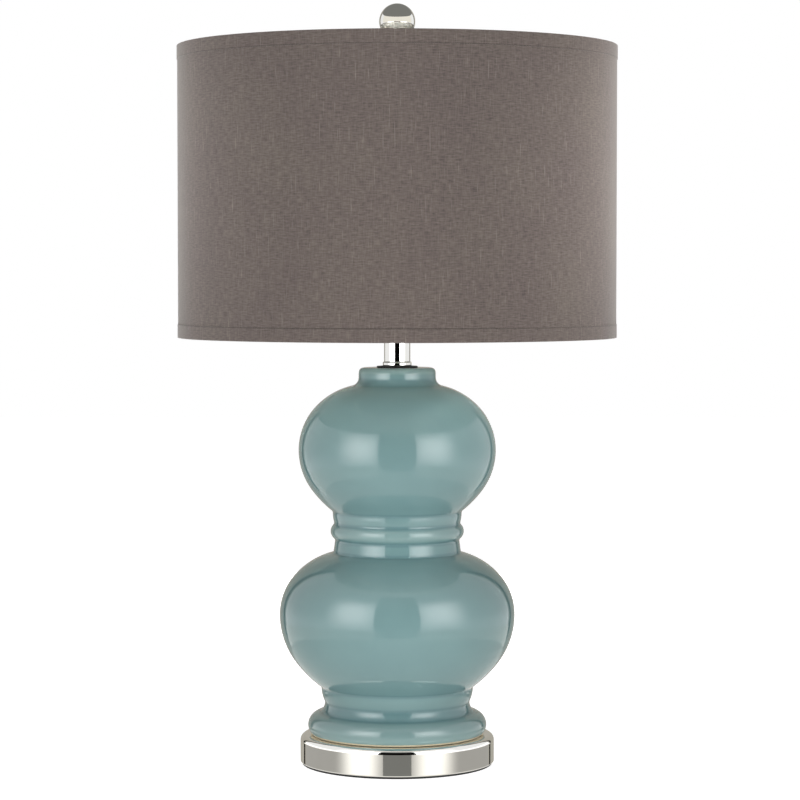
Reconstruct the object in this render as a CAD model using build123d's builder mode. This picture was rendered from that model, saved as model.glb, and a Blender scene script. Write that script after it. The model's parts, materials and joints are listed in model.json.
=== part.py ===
"""Table lamp: glazed double-gourd body on a round base, with harp, drum shade and ball finial.

Millimetres, +Z up, origin at the centre of the pad's underside. The front faces -Y.
Outlines of turned pieces are given as (radius, height).
"""
from build123d import *
import os

# Clearances
SEAT_GAP = 0.3  # between seated pieces that can move apart
BOND_GAP = 0.05  # glue line between curved faces
RUNNING_GAP = 0.08  # radial play of a piece that turns or slides
SLIP_GAP = 0.25  # radial play of a piece slipped over the pipe

# Base: pad, plated casting and weight
PAD_THICKNESS = 2.0
PAD_INSET = 1.5
PAD_EDGE_ROUND = 0.8
BASE_RADIUS = 90.5
BASE_HEIGHT = 25.3
BASE_SHOULDER_ROUND = 5.0
BASE_HEM_ROUND = 1.0
BASE_WALL = 3.0
WEIGHT_RADIUS = 70.0
WEIGHT_THICKNESS = 9.0

# Cord inlet in the back of the base
CORD_BORE_RADIUS = 3.2
BUSHING_WALL = 1.4
BUSHING_FLANGE_WIDTH = 2.0
BUSHING_FLANGE_THICKNESS = 1.6
BUSHING_BARB_WIDTH = 0.8
BUSHING_BARB_LENGTH = 2.5
CORD_INLET_RISE = 8.0

# Threaded pipe and the clamp under the weight
PIPE_RADIUS = 5.1
PIPE_BORE_RADIUS = 3.4
PIPE_TAIL = 2.0
CLAMP_WASHER_RADIUS = 14.0
CLAMP_WASHER_THICKNESS = 1.5
LOCK_WASHER_WIDTH = 3.2
LOCK_WASHER_THICKNESS = 1.4
LOCK_WASHER_SPLIT = 2.0
NUT_ACROSS_FLATS = 15.9
NUT_THICKNESS = 4.0

# Gasket between base and body
GASKET_RADIUS = 76.0
GASKET_WIDTH = 14.0
GASKET_THICKNESS = 0.5

# Ceramic body, from the foot upwards
CERAMIC_WALL = 7.0
CERAMIC_FLOOR = 8.0
CERAMIC_FLOOR_HOLE = 30.0
FOOT_RADIUS = 79.5
FOOT_BELLY_RADIUS = 83.4
FOOT_BELLY_RISE = 8.4
FOOT_HEIGHT = 14.6
FOOT_CREASE_RADIUS = 72.3
LOW_BEAD_RADIUS = 70.5
LOW_BEAD_BELLY_RISE = 9.6
LOW_BEAD_HEIGHT = 15.9
LOW_GROOVE_RADIUS = 67.7
LOW_BAND_RADIUS = 70.2
LOW_BAND_BELLY_RISE = 6.9
LOW_BAND_HEIGHT = 13.8
LOWER_BULB_FOOT_RADIUS = 70.9
LOWER_BULB_RADIUS = 109.7
LOWER_BULB_RISE = 67.9
LOWER_HAUNCH_INSET = 14.9
LOWER_HAUNCH_DROP = 44.4
LOWER_SHOULDER_INSET = 12.3
LOWER_SHOULDER_RISE = 34.3
LOWER_BULB_CROWN = 57.4
NECK_FOOT_RADIUS = 59.6
NECK_HEIGHT = 12.6
NECK_RADIUS = 57.8
NECK_BEAD_RADIUS = 62.2
NECK_BEAD_BELLY_RISE = 6.4
NECK_BEAD_HEIGHT = 14.5
NECK_GROOVE_RADIUS = 58.5
NECK_BAND_RADIUS = 59.9
NECK_BAND_BELLY_RISE = 5.8
NECK_BAND_HEIGHT = 11.5
UPPER_BULB_FOOT_RADIUS = 60.1
UPPER_BULB_RADIUS = 91.9
UPPER_BULB_RISE = 57.3
UPPER_HAUNCH_INSET = 12.9
UPPER_HAUNCH_DROP = 38.1
UPPER_SHOULDER_INSET = 15.4
UPPER_SHOULDER_RISE = 39.7
UPPER_BULB_CROWN = 59.7
COVE_FOOT_RADIUS = 42.5
COVE_HEIGHT = 7.5
COLLAR_RADIUS = 35.9
COLLAR_HEIGHT = 9.4
COLLAR_ROUND = 4.0
COLLAR_LID = 8.0

# Metal neck
NECK_WASHER_RADIUS = 19.0
NECK_WASHER_THICKNESS = 1.5
NECK_COLLAR_RADIUS = 13.4
NECK_COLLAR_HEIGHT = 4.3
NECK_COLLAR_ROUND = 1.2
TUBE_RADIUS = 12.2
TUBE_WALL = 1.0
TUBE_LENGTH = 46.6
TUBE_CAP_THICKNESS = 1.5

# Harp and its saddle
SADDLE_THICKNESS = 1.6
SADDLE_WIDTH = 13.0
SADDLE_EAR_WIDTH = 3.0
SADDLE_EAR_HEIGHT = 14.0
SADDLE_NECK_WIDTH = 6.0
HARP_HEIGHT = 228.6
HARP_WIRE_RADIUS = 1.8
HARP_LEG_SPREAD = 27.0
HARP_LEG_LENGTH = 32.0
HARP_LEG_LIFT = 1.5
HARP_BOW_HALF_WIDTH = 55.0
HARP_FLARE_HEIGHT = 62.0
HARP_FLARE_BEND = 60.0
HARP_TOP_FLAT = 5.0
HARP_BOSS_RADIUS = 5.0
FERRULE_WALL = 0.9
FERRULE_LENGTH = 14.0
STUD_RADIUS = 3.175
STUD_LENGTH = 12.0
STUD_TIP_CHAMFER = 0.6
STUD_FLANGE_RADIUS = 6.4
STUD_FLANGE_THICKNESS = 2.0
STUD_RIVET_RADIUS = 2.0
STUD_RIVET_HEAD_RADIUS = 3.3
STUD_RIVET_HEAD_THICKNESS = 1.0

# Socket
SOCKET_HUB_RADIUS = 7.5
SOCKET_HUB_HEIGHT = 10.0
SOCKET_BOWL_RISE = 5.0
SOCKET_BOWL_HEIGHT = 8.0
SOCKET_RIM_HEIGHT = 8.0
SOCKET_CAP_WALL = 0.7
SHELL_WALL = 0.5
SHELL_LENGTH = 44.0
SHELL_ENGAGEMENT = 7.0
LINER_WALL = 0.9
LINER_END_STEP = 1.5
SCREW_SHELL_RADIUS = 13.9
SCREW_SHELL_WALL = 0.55
SCREW_SHELL_HEIGHT = 25.0
SCREW_SHELL_HOLE = 6.5
CORE_HEAD_HEIGHT = 6.0
CORE_FLAT_INSET = 2.9
CONTACT_RADIUS = 4.5
CONTACT_HEIGHT = 3.0
TERMINAL_HEAD_RADIUS = 3.0
TERMINAL_HEAD_HEIGHT = 1.8
TERMINAL_SHANK_RADIUS = 1.6
TERMINAL_SHANK_LENGTH = 5.0
TERMINAL_SLOT_WIDTH = 0.8
TERMINAL_SLOT_DEPTH = 0.7
SET_SCREW_RADIUS = 1.75
SET_SCREW_LENGTH = 4.5
SET_SCREW_RISE = 2.6
SWITCH_RISE = 4.5
SWITCH_SHAFT_RADIUS = 2.0
SWITCH_SHAFT_ENGAGEMENT = 8.0
SWITCH_PORT_PLAY = 1.2
KNOB_STANDOFF = 3.5
KNOB_RADIUS = 5.5
KNOB_LENGTH = 15.0
KNOB_BORE_DEPTH = 9.0
KNOB_FLUTES = 12
KNOB_FLUTE_RADIUS = 0.7

# Bulb
BULB_LENGTH = 108.0
BULB_RADIUS = 30.2
BULB_EYELET_RADIUS = 4.6
BULB_EYELET_HEIGHT = 1.2
BULB_INSULATOR_RADIUS = 11.0
BULB_INSULATOR_HEIGHT = 5.3
BULB_CAP_RADIUS = 13.0
BULB_CAP_WALL = 0.5
BULB_CAP_HEIGHT = 18.5
BULB_GLASS_WALL = 0.8
BULB_GLASS_ENGAGEMENT = 9.0
BULB_THROAT_RADIUS = 17.0
BULB_THROAT_RISE = 15.0
BULB_STEM_RADIUS = 5.0
BULB_STEM_HEIGHT = 34.0
BULB_STEM_TIP_RADIUS = 1.5
FILAMENT_RADIUS = 0.4
FILAMENT_HALF_SPAN = 11.0

# Shade
SHADE_RADIUS = 203.2
SHADE_HEIGHT = 268.8
SHADE_RECESS = 11.1
FABRIC_THICKNESS = 0.7
LINER_THICKNESS = 0.5
SEAM_WIDTH = 14.0
SEAM_THICKNESS = 0.4
TRIM_HEIGHT = 12.5
TRIM_THICKNESS = 0.45
TRIM_TUCK = 4.5
RING_WIRE_RADIUS = 1.3
ARM_WIRE_RADIUS = 1.6
ARM_COUNT = 3
ARM_WELD = 4.0
ARM_NOTCH_LENGTH = 2.0
HUB_RADIUS = 15.0
HUB_THICKNESS = 1.5

# Finial
FINIAL_BALL_RADIUS = 16.7
FINIAL_BALL_WALL = 3.5
FINIAL_STEM_LENGTH = 17.5
FINIAL_FLANGE_RADIUS = 9.0
FINIAL_FLANGE_THICKNESS = 2.5
FINIAL_WAIST_RADIUS = 5.6
FINIAL_NECK_RADIUS = 7.5
FINIAL_NECK_HEIGHT = 4.0
FINIAL_PEG_RADIUS = 5.0
FINIAL_PEG_LENGTH = 7.0

# Heights of the stack, each on top of the one before
base_bottom = PAD_THICKNESS
base_top = base_bottom + BASE_HEIGHT
weight_top = base_top - BASE_WALL
weight_bottom = weight_top - WEIGHT_THICKNESS
clamp_washer_bottom = weight_bottom - CLAMP_WASHER_THICKNESS
lock_washer_bottom = clamp_washer_bottom - LOCK_WASHER_THICKNESS
nut_bottom = lock_washer_bottom - NUT_THICKNESS
pipe_bottom = nut_bottom - PIPE_TAIL
foot_bottom = base_top + GASKET_THICKNESS
foot_crease = foot_bottom + FOOT_HEIGHT
low_groove = foot_crease + LOW_BEAD_HEIGHT
lower_bulb_bottom = low_groove + LOW_BAND_HEIGHT
lower_bulb_middle = lower_bulb_bottom + LOWER_BULB_RISE
lower_bulb_top = lower_bulb_middle + LOWER_BULB_CROWN
neck_top = lower_bulb_top + NECK_HEIGHT
neck_groove = neck_top + NECK_BEAD_HEIGHT
upper_bulb_bottom = neck_groove + NECK_BAND_HEIGHT
upper_bulb_middle = upper_bulb_bottom + UPPER_BULB_RISE
upper_bulb_top = upper_bulb_middle + UPPER_BULB_CROWN
collar_bottom = upper_bulb_top + COVE_HEIGHT
ceramic_top = collar_bottom + COLLAR_HEIGHT
neck_collar_bottom = ceramic_top + NECK_WASHER_THICKNESS
tube_bottom = neck_collar_bottom + NECK_COLLAR_HEIGHT
tube_top = tube_bottom + TUBE_LENGTH
saddle_bottom = tube_top + TUBE_CAP_THICKNESS
saddle_top = saddle_bottom + SADDLE_THICKNESS
hub_inner_top = saddle_top + SOCKET_HUB_HEIGHT
stud_shoulder = saddle_top + HARP_HEIGHT
harp_wire_top = stud_shoulder - STUD_FLANGE_THICKNESS - HARP_WIRE_RADIUS
spider_hub_bottom = stud_shoulder + SEAT_GAP
spider_hub_top = spider_hub_bottom + HUB_THICKNESS
shade_top = spider_hub_top + SHADE_RECESS
shade_bottom = shade_top - SHADE_HEIGHT
finial_bottom = spider_hub_top + SEAT_GAP
ball_bottom = finial_bottom + FINIAL_STEM_LENGTH

# Radii that fits share
pipe_hole = PIPE_RADIUS + SLIP_GAP


def turn(*outline, mode=Mode.ADD):
    """Turn a closed outline of straight lines about the lamp's axis."""
    with BuildSketch(Plane.XZ) as section:
        with BuildLine():
            Polyline(*outline, close=True)
        make_face()
    revolve(section.sketch, axis=Axis.Z, mode=mode)


def ring(inner, outer, bottom, top, mode=Mode.ADD):
    """A flat ring or a straight sleeve between two radii and two heights."""
    turn((inner, bottom), (outer, bottom), (outer, top), (inner, top), mode=mode)


# Base pad
pad_radius = BASE_RADIUS - PAD_INSET
with BuildPart() as base_pad:
    with BuildSketch():
        Circle(pad_radius)
    extrude(amount=PAD_THICKNESS)
    fillet(base_pad.faces().sort_by(Axis.Z)[0].edges(), PAD_EDGE_ROUND)

# Base plate: a flat pan with a rounded shoulder, open below
base_inside = BASE_RADIUS - BASE_WALL
cord_inlet_height = base_bottom + CORD_INLET_RISE
bushing_radius = CORD_BORE_RADIUS + BUSHING_WALL
with BuildPart() as base_plate:
    with BuildSketch(Plane.XZ) as base_section:
        with BuildLine():
            Polyline(
                (pipe_hole, base_top),
                (BASE_RADIUS, base_top),
                (BASE_RADIUS, base_bottom),
                (base_inside, base_bottom),
                (base_inside, base_top - BASE_WALL),
                (pipe_hole, base_top - BASE_WALL),
                close=True,
            )
        make_face()
        shoulder = base_section.vertices().sort_by_distance((BASE_RADIUS, base_top))[0]
        fillet(shoulder, BASE_SHOULDER_ROUND)
        hem = base_section.vertices().sort_by_distance((BASE_RADIUS, base_bottom))[0]
        fillet(hem, BASE_HEM_ROUND)
    revolve(axis=Axis.Z)
    with BuildSketch(Plane.XZ):
        with Locations((0, cord_inlet_height)):
            Circle(bushing_radius + BOND_GAP)
    extrude(amount=-BASE_RADIUS, mode=Mode.SUBTRACT)

# Weight inside the base
with BuildPart() as base_weight:
    ring(pipe_hole, WEIGHT_RADIUS, weight_bottom, weight_top)

# Cord bushing: flange outside, sleeve through the wall, barb inside
with BuildPart() as cord_bushing:
    with BuildSketch(Plane.XZ.offset(-BASE_RADIUS)):
        with Locations((0, cord_inlet_height)):
            Circle(bushing_radius + BUSHING_FLANGE_WIDTH)
    extrude(amount=-BUSHING_FLANGE_THICKNESS)
    with BuildSketch(Plane.XZ.offset(-BASE_RADIUS)):
        with Locations((0, cord_inlet_height)):
            Circle(bushing_radius)
    extrude(amount=BASE_WALL + SEAT_GAP + BUSHING_BARB_LENGTH)
    with BuildSketch(Plane.XZ.offset(SEAT_GAP - base_inside)):
        with Locations((0, cord_inlet_height)):
            Circle(bushing_radius + BUSHING_BARB_WIDTH)
    extrude(amount=BUSHING_BARB_LENGTH)
    with BuildSketch(Plane.XZ.offset(-BASE_RADIUS - BUSHING_FLANGE_THICKNESS)):
        with Locations((0, cord_inlet_height)):
            Circle(CORD_BORE_RADIUS)
    extrude(amount=BASE_RADIUS, mode=Mode.SUBTRACT)

# Pipe from the nut up into the socket's hub
with BuildPart() as lamp_pipe:
    ring(PIPE_BORE_RADIUS, PIPE_RADIUS, pipe_bottom, hub_inner_top)

# Clamp under the weight: flat washer, split washer and nut
with BuildPart() as pipe_washer:
    ring(pipe_hole, CLAMP_WASHER_RADIUS, clamp_washer_bottom, weight_bottom)

with BuildPart() as pipe_lock_washer:
    ring(pipe_hole, pipe_hole + LOCK_WASHER_WIDTH, lock_washer_bottom, clamp_washer_bottom)
    with BuildSketch(Plane.XY.offset(lock_washer_bottom)):
        with Locations((pipe_hole + LOCK_WASHER_WIDTH / 2, 0)):
            Rectangle(2 * LOCK_WASHER_WIDTH, LOCK_WASHER_SPLIT)
    extrude(amount=LOCK_WASHER_THICKNESS, mode=Mode.SUBTRACT)

with BuildPart() as pipe_nut:
    with BuildSketch(Plane.XY.offset(nut_bottom)):
        RegularPolygon(NUT_ACROSS_FLATS / 2, 6, major_radius=False)
        Circle(PIPE_RADIUS + BOND_GAP, mode=Mode.SUBTRACT)
    extrude(amount=NUT_THICKNESS)

# Gasket under the ceramic foot
with BuildPart() as foot_gasket:
    ring(GASKET_RADIUS - GASKET_WIDTH, GASKET_RADIUS, base_top, foot_bottom)

# Ceramic body: outer outline of arcs, inner outline one wall inside it
lower_belly = (LOWER_BULB_RADIUS, lower_bulb_middle)
lower_haunch = (LOWER_BULB_RADIUS - LOWER_HAUNCH_INSET, lower_bulb_middle - LOWER_HAUNCH_DROP)
lower_shoulder = (LOWER_BULB_RADIUS - LOWER_SHOULDER_INSET, lower_bulb_middle + LOWER_SHOULDER_RISE)
upper_belly = (UPPER_BULB_RADIUS, upper_bulb_middle)
upper_haunch = (UPPER_BULB_RADIUS - UPPER_HAUNCH_INSET, upper_bulb_middle - UPPER_HAUNCH_DROP)
upper_shoulder = (UPPER_BULB_RADIUS - UPPER_SHOULDER_INSET, upper_bulb_middle + UPPER_SHOULDER_RISE)
foot_belly = (FOOT_BELLY_RADIUS, foot_bottom + FOOT_BELLY_RISE)
crease = (FOOT_CREASE_RADIUS, foot_crease)
groove_low = (LOW_GROOVE_RADIUS, low_groove)
bulb_foot_low = (LOWER_BULB_FOOT_RADIUS, lower_bulb_bottom)
neck_foot = (NECK_FOOT_RADIUS, lower_bulb_top)
neck_end = (NECK_RADIUS, neck_top)
groove_high = (NECK_GROOVE_RADIUS, neck_groove)
bulb_foot_high = (UPPER_BULB_FOOT_RADIUS, upper_bulb_bottom)
cove_foot = (COVE_FOOT_RADIUS, upper_bulb_top)
collar_foot = (COLLAR_RADIUS, collar_bottom)
collar_edge = (COLLAR_RADIUS, ceramic_top - COLLAR_ROUND)
collar_face = (COLLAR_RADIUS - COLLAR_ROUND, ceramic_top)
inside_foot = (LOW_GROOVE_RADIUS - CERAMIC_WALL, lower_bulb_bottom + CERAMIC_WALL / 2)
inside_lower_belly = (LOWER_BULB_RADIUS - CERAMIC_WALL, lower_bulb_middle)
inside_neck_bottom = (NECK_RADIUS - CERAMIC_WALL, lower_bulb_top - CERAMIC_WALL / 2)
inside_neck_top = (NECK_RADIUS - CERAMIC_WALL, upper_bulb_bottom + CERAMIC_WALL / 2)
inside_upper_belly = (UPPER_BULB_RADIUS - CERAMIC_WALL, upper_bulb_middle)
inside_collar = (COLLAR_RADIUS - CERAMIC_WALL, upper_bulb_top - CERAMIC_WALL)
up = (0, 1)
down = (0, -1)
with BuildPart() as ceramic_body:
    with BuildSketch(Plane.XZ):
        with BuildLine():
            TangentArc(foot_belly, (FOOT_RADIUS, foot_bottom), tangent=down)
            TangentArc(foot_belly, crease, tangent=up)
            ThreePointArc(crease, (LOW_BEAD_RADIUS, foot_crease + LOW_BEAD_BELLY_RISE), groove_low)
            ThreePointArc(groove_low, (LOW_BAND_RADIUS, low_groove + LOW_BAND_BELLY_RISE), bulb_foot_low)
            lower_side = TangentArc(lower_belly, lower_haunch, tangent=down)
            TangentArc(lower_haunch, bulb_foot_low, tangent=lower_side % 1)
            lower_crown = TangentArc(lower_belly, lower_shoulder, tangent=up)
            TangentArc(lower_shoulder, neck_foot, tangent=lower_crown % 1)
            Line(neck_foot, neck_end)
            ThreePointArc(neck_end, (NECK_BEAD_RADIUS, neck_top + NECK_BEAD_BELLY_RISE), groove_high)
            ThreePointArc(groove_high, (NECK_BAND_RADIUS, neck_groove + NECK_BAND_BELLY_RISE), bulb_foot_high)
            upper_side = TangentArc(upper_belly, upper_haunch, tangent=down)
            TangentArc(upper_haunch, bulb_foot_high, tangent=upper_side % 1)
            upper_crown = TangentArc(upper_belly, upper_shoulder, tangent=up)
            TangentArc(upper_shoulder, cove_foot, tangent=upper_crown % 1)
            TangentArc(collar_foot, cove_foot, tangent=down)
            Line(collar_foot, collar_edge)
            TangentArc(collar_edge, collar_face, tangent=up)
            Polyline(
                collar_face,
                (pipe_hole, ceramic_top),
                (pipe_hole, ceramic_top - COLLAR_LID),
                (inside_collar[0], ceramic_top - COLLAR_LID),
                inside_collar,
            )
            TangentArc(inside_upper_belly, inside_collar, tangent=up)
            TangentArc(inside_upper_belly, inside_neck_top, tangent=down)
            Line(inside_neck_top, inside_neck_bottom)
            TangentArc(inside_lower_belly, inside_neck_bottom, tangent=up)
            TangentArc(inside_lower_belly, inside_foot, tangent=down)
            Polyline(
                inside_foot,
                (inside_foot[0], foot_bottom + CERAMIC_FLOOR),
                (CERAMIC_FLOOR_HOLE, foot_bottom + CERAMIC_FLOOR),
                (CERAMIC_FLOOR_HOLE, foot_bottom),
                (FOOT_RADIUS, foot_bottom),
            )
        make_face()
    revolve(axis=Axis.Z)

# Metal neck: washer, collar, tube and its closing cap
with BuildPart() as neck_washer:
    ring(pipe_hole, NECK_WASHER_RADIUS, ceramic_top, neck_collar_bottom)

with BuildPart() as neck_collar:
    ring(pipe_hole, NECK_COLLAR_RADIUS, neck_collar_bottom, tube_bottom)
    fillet(neck_collar.edges().filter_by(GeomType.CIRCLE).group_by(SortBy.RADIUS)[-1], NECK_COLLAR_ROUND)

with BuildPart() as neck_tube:
    ring(TUBE_RADIUS - TUBE_WALL, TUBE_RADIUS, tube_bottom, tube_top)

with BuildPart() as tube_cap:
    ring(pipe_hole, TUBE_RADIUS, tube_top, saddle_bottom)

# Saddle: a strip with an ear at each end, beside the harp's legs
ear_inner = HARP_LEG_SPREAD + HARP_WIRE_RADIUS + SEAT_GAP
ear_outer = ear_inner + SADDLE_THICKNESS
with BuildPart() as harp_saddle:
    with BuildSketch(Plane.XY.offset(saddle_bottom)):
        with BuildLine():
            Polyline(
                (TUBE_RADIUS, -SADDLE_WIDTH / 2),
                (ear_outer, -SADDLE_NECK_WIDTH / 2),
                (ear_outer, SADDLE_NECK_WIDTH / 2),
                (TUBE_RADIUS, SADDLE_WIDTH / 2),
                (-TUBE_RADIUS, SADDLE_WIDTH / 2),
                (-ear_outer, SADDLE_NECK_WIDTH / 2),
                (-ear_outer, -SADDLE_NECK_WIDTH / 2),
                (-TUBE_RADIUS, -SADDLE_WIDTH / 2),
                close=True,
            )
        make_face()
        Circle(pipe_hole, mode=Mode.SUBTRACT)
    extrude(amount=SADDLE_THICKNESS)
    ear_middle = (ear_inner + ear_outer) / 2
    with BuildSketch(Plane.XY.offset(saddle_top)):
        with Locations((ear_middle, 0), (-ear_middle, 0)):
            Rectangle(SADDLE_THICKNESS, SADDLE_EAR_WIDTH)
    extrude(amount=SADDLE_EAR_HEIGHT)

# Harp bow: straight legs, a flare and a round top with a drilled boss
leg_bottom = saddle_top + HARP_LEG_LIFT
leg_top = leg_bottom + HARP_LEG_LENGTH
flare_top = leg_top + HARP_FLARE_HEIGHT
bow_bend = HARP_BOW_HALF_WIDTH - HARP_TOP_FLAT
rivet_hole = STUD_RIVET_RADIUS + BOND_GAP
boss_bottom = harp_wire_top - HARP_WIRE_RADIUS
with BuildPart() as harp_bow:
    with BuildLine(Plane.XZ) as harp_path:
        FilletPolyline(
            (-HARP_LEG_SPREAD, leg_bottom),
            (-HARP_LEG_SPREAD, leg_top),
            (-HARP_BOW_HALF_WIDTH, flare_top),
            (-HARP_BOW_HALF_WIDTH, harp_wire_top),
            (HARP_BOW_HALF_WIDTH, harp_wire_top),
            (HARP_BOW_HALF_WIDTH, flare_top),
            (HARP_LEG_SPREAD, leg_top),
            (HARP_LEG_SPREAD, leg_bottom),
            radius=[HARP_FLARE_BEND, HARP_FLARE_BEND, bow_bend, bow_bend, HARP_FLARE_BEND, HARP_FLARE_BEND],
        )
    with BuildSketch(Plane.XY.offset(leg_bottom)):
        with Locations((-HARP_LEG_SPREAD, 0)):
            Circle(HARP_WIRE_RADIUS)
    sweep()
    with BuildSketch(Plane.XY.offset(boss_bottom)):
        Circle(HARP_BOSS_RADIUS)
    extrude(amount=2 * HARP_WIRE_RADIUS)
    with BuildSketch(Plane.XY.offset(boss_bottom)):
        Circle(rivet_hole)
    extrude(amount=2 * HARP_WIRE_RADIUS, mode=Mode.SUBTRACT)

# Stud: rivet through the boss, flange and threaded shank
stud_top = stud_shoulder + STUD_LENGTH
with BuildPart() as harp_stud:
    turn(
        (0, boss_bottom - STUD_RIVET_HEAD_THICKNESS),
        (STUD_RIVET_HEAD_RADIUS, boss_bottom - STUD_RIVET_HEAD_THICKNESS),
        (STUD_RIVET_HEAD_RADIUS, boss_bottom),
        (STUD_RIVET_RADIUS, boss_bottom),
        (STUD_RIVET_RADIUS, stud_shoulder - STUD_FLANGE_THICKNESS),
        (STUD_FLANGE_RADIUS, stud_shoulder - STUD_FLANGE_THICKNESS),
        (STUD_FLANGE_RADIUS, stud_shoulder),
        (STUD_RADIUS, stud_shoulder),
        (STUD_RADIUS, stud_top - STUD_TIP_CHAMFER),
        (STUD_RADIUS - STUD_TIP_CHAMFER, stud_top),
        (0, stud_top),
    )

# Ferrules: sleeves round a leg and its ear
ferrule_middle = (HARP_LEG_SPREAD - HARP_WIRE_RADIUS + ear_outer) / 2
ferrule_reach = (ear_outer - HARP_LEG_SPREAD + HARP_WIRE_RADIUS) / 2
ferrule_bore = (ferrule_reach**2 + (SADDLE_EAR_WIDTH / 2) ** 2) ** 0.5 + SEAT_GAP
ferrules = {}
for side, sign in (("left", -1), ("right", 1)):
    with BuildPart() as ferrule:
        with BuildSketch(Plane.XY.offset(saddle_top + SEAT_GAP)):
            with Locations((sign * ferrule_middle, 0)):
                Circle(ferrule_bore + FERRULE_WALL)
                Circle(ferrule_bore, mode=Mode.SUBTRACT)
        extrude(amount=FERRULE_LENGTH)
    ferrules[f"ferrule_{side}"] = ferrule

# Socket radii, from the screw shell outwards
liner_bore = SCREW_SHELL_RADIUS + SLIP_GAP
liner_radius = liner_bore + LINER_WALL
shell_bore = liner_radius + BOND_GAP
shell_radius = shell_bore + SHELL_WALL
cap_bore = shell_radius + BOND_GAP
cap_radius = cap_bore + SOCKET_CAP_WALL
bowl_bottom = saddle_top + SOCKET_BOWL_RISE
bowl_top = bowl_bottom + SOCKET_BOWL_HEIGHT
cap_top = bowl_top + SOCKET_RIM_HEIGHT
shell_bottom = cap_top - SHELL_ENGAGEMENT
shell_top = shell_bottom + SHELL_LENGTH
switch_height = cap_top + SWITCH_RISE
core_top = switch_height + CORE_HEAD_HEIGHT
switch_port = SWITCH_SHAFT_RADIUS + SWITCH_PORT_PLAY

# Socket cap: hub on the pipe, bowl and rim
with BuildPart() as socket_cap:
    with BuildSketch(Plane.XZ):
        with BuildLine():
            bowl_outside = TangentArc((cap_radius, bowl_top), (SOCKET_HUB_RADIUS, bowl_bottom), tangent=down)
            Polyline(
                bowl_outside @ 1,
                (SOCKET_HUB_RADIUS, saddle_top),
                (PIPE_RADIUS + BOND_GAP, saddle_top),
                (PIPE_RADIUS + BOND_GAP, hub_inner_top),
                (SOCKET_HUB_RADIUS, hub_inner_top),
                (SOCKET_HUB_RADIUS, bowl_bottom + SOCKET_CAP_WALL),
            )
            TangentArc(
                (cap_bore, bowl_top), (SOCKET_HUB_RADIUS, bowl_bottom + SOCKET_CAP_WALL), tangent=down
            )
            Polyline((cap_bore, bowl_top), (cap_bore, cap_top), (cap_radius, cap_top), (cap_radius, bowl_top))
        make_face()
    revolve(axis=Axis.Z)
    with BuildSketch(Plane.XZ):
        with Locations((0, saddle_top + SET_SCREW_RISE)):
            Circle(SET_SCREW_RADIUS + BOND_GAP)
    extrude(amount=-SOCKET_HUB_RADIUS, mode=Mode.SUBTRACT)

# Set screw in the back of the hub
set_screw_tip = PIPE_RADIUS + BOND_GAP
with BuildPart() as socket_set_screw:
    with BuildSketch(Plane.XZ.offset(-set_screw_tip)):
        with Locations((0, saddle_top + SET_SCREW_RISE)):
            Circle(SET_SCREW_RADIUS)
    extrude(amount=-SET_SCREW_LENGTH)
    with BuildSketch(Plane.XZ.offset(-set_screw_tip - SET_SCREW_LENGTH)):
        with Locations((0, saddle_top + SET_SCREW_RISE)):
            Rectangle(2 * SET_SCREW_RADIUS, TERMINAL_SLOT_WIDTH)
    extrude(amount=TERMINAL_SLOT_DEPTH, mode=Mode.SUBTRACT)

# Outer shell and insulating liner, each with a port for the switch
port_length = switch_height - shell_bottom
with BuildPart() as socket_shell:
    ring(shell_bore, shell_radius, shell_bottom, shell_top)
    with BuildSketch(Plane.XZ):
        with Locations((0, switch_height)):
            Circle(switch_port)
            Rectangle(2 * switch_port, port_length, align=(Align.CENTER, Align.MAX))
    extrude(amount=cap_radius, mode=Mode.SUBTRACT)

with BuildPart() as socket_liner:
    ring(liner_bore, liner_radius, shell_bottom + LINER_END_STEP, shell_top - LINER_END_STEP)
    with BuildSketch(Plane.XZ):
        with Locations((0, switch_height)):
            Circle(switch_port)
    extrude(amount=cap_radius, mode=Mode.SUBTRACT)

# Core: moulded block with a flat on each side for the terminal screws
core_flat = SCREW_SHELL_RADIUS - CORE_FLAT_INSET
with BuildPart() as socket_core:
    with BuildSketch(Plane.XY.offset(hub_inner_top)):
        Circle(SCREW_SHELL_RADIUS)
        Rectangle(2 * core_flat, 2 * SCREW_SHELL_RADIUS, mode=Mode.INTERSECT)
    extrude(amount=core_top - hub_inner_top)
    with BuildSketch(Plane.XZ.offset(SCREW_SHELL_RADIUS - SWITCH_SHAFT_ENGAGEMENT)):
        with Locations((0, switch_height)):
            Circle(SWITCH_SHAFT_RADIUS + RUNNING_GAP)
    extrude(amount=SCREW_SHELL_RADIUS, mode=Mode.SUBTRACT)
    with BuildSketch(Plane.YZ.offset(core_flat)):
        with Locations((0, switch_height)):
            Circle(TERMINAL_SHANK_RADIUS + BOND_GAP)
    extrude(amount=-TERMINAL_SHANK_LENGTH, mode=Mode.SUBTRACT)
    with BuildSketch(Plane.YZ.offset(-core_flat)):
        with Locations((0, switch_height)):
            Circle(TERMINAL_SHANK_RADIUS + BOND_GAP)
    extrude(amount=TERMINAL_SHANK_LENGTH, mode=Mode.SUBTRACT)

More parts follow.
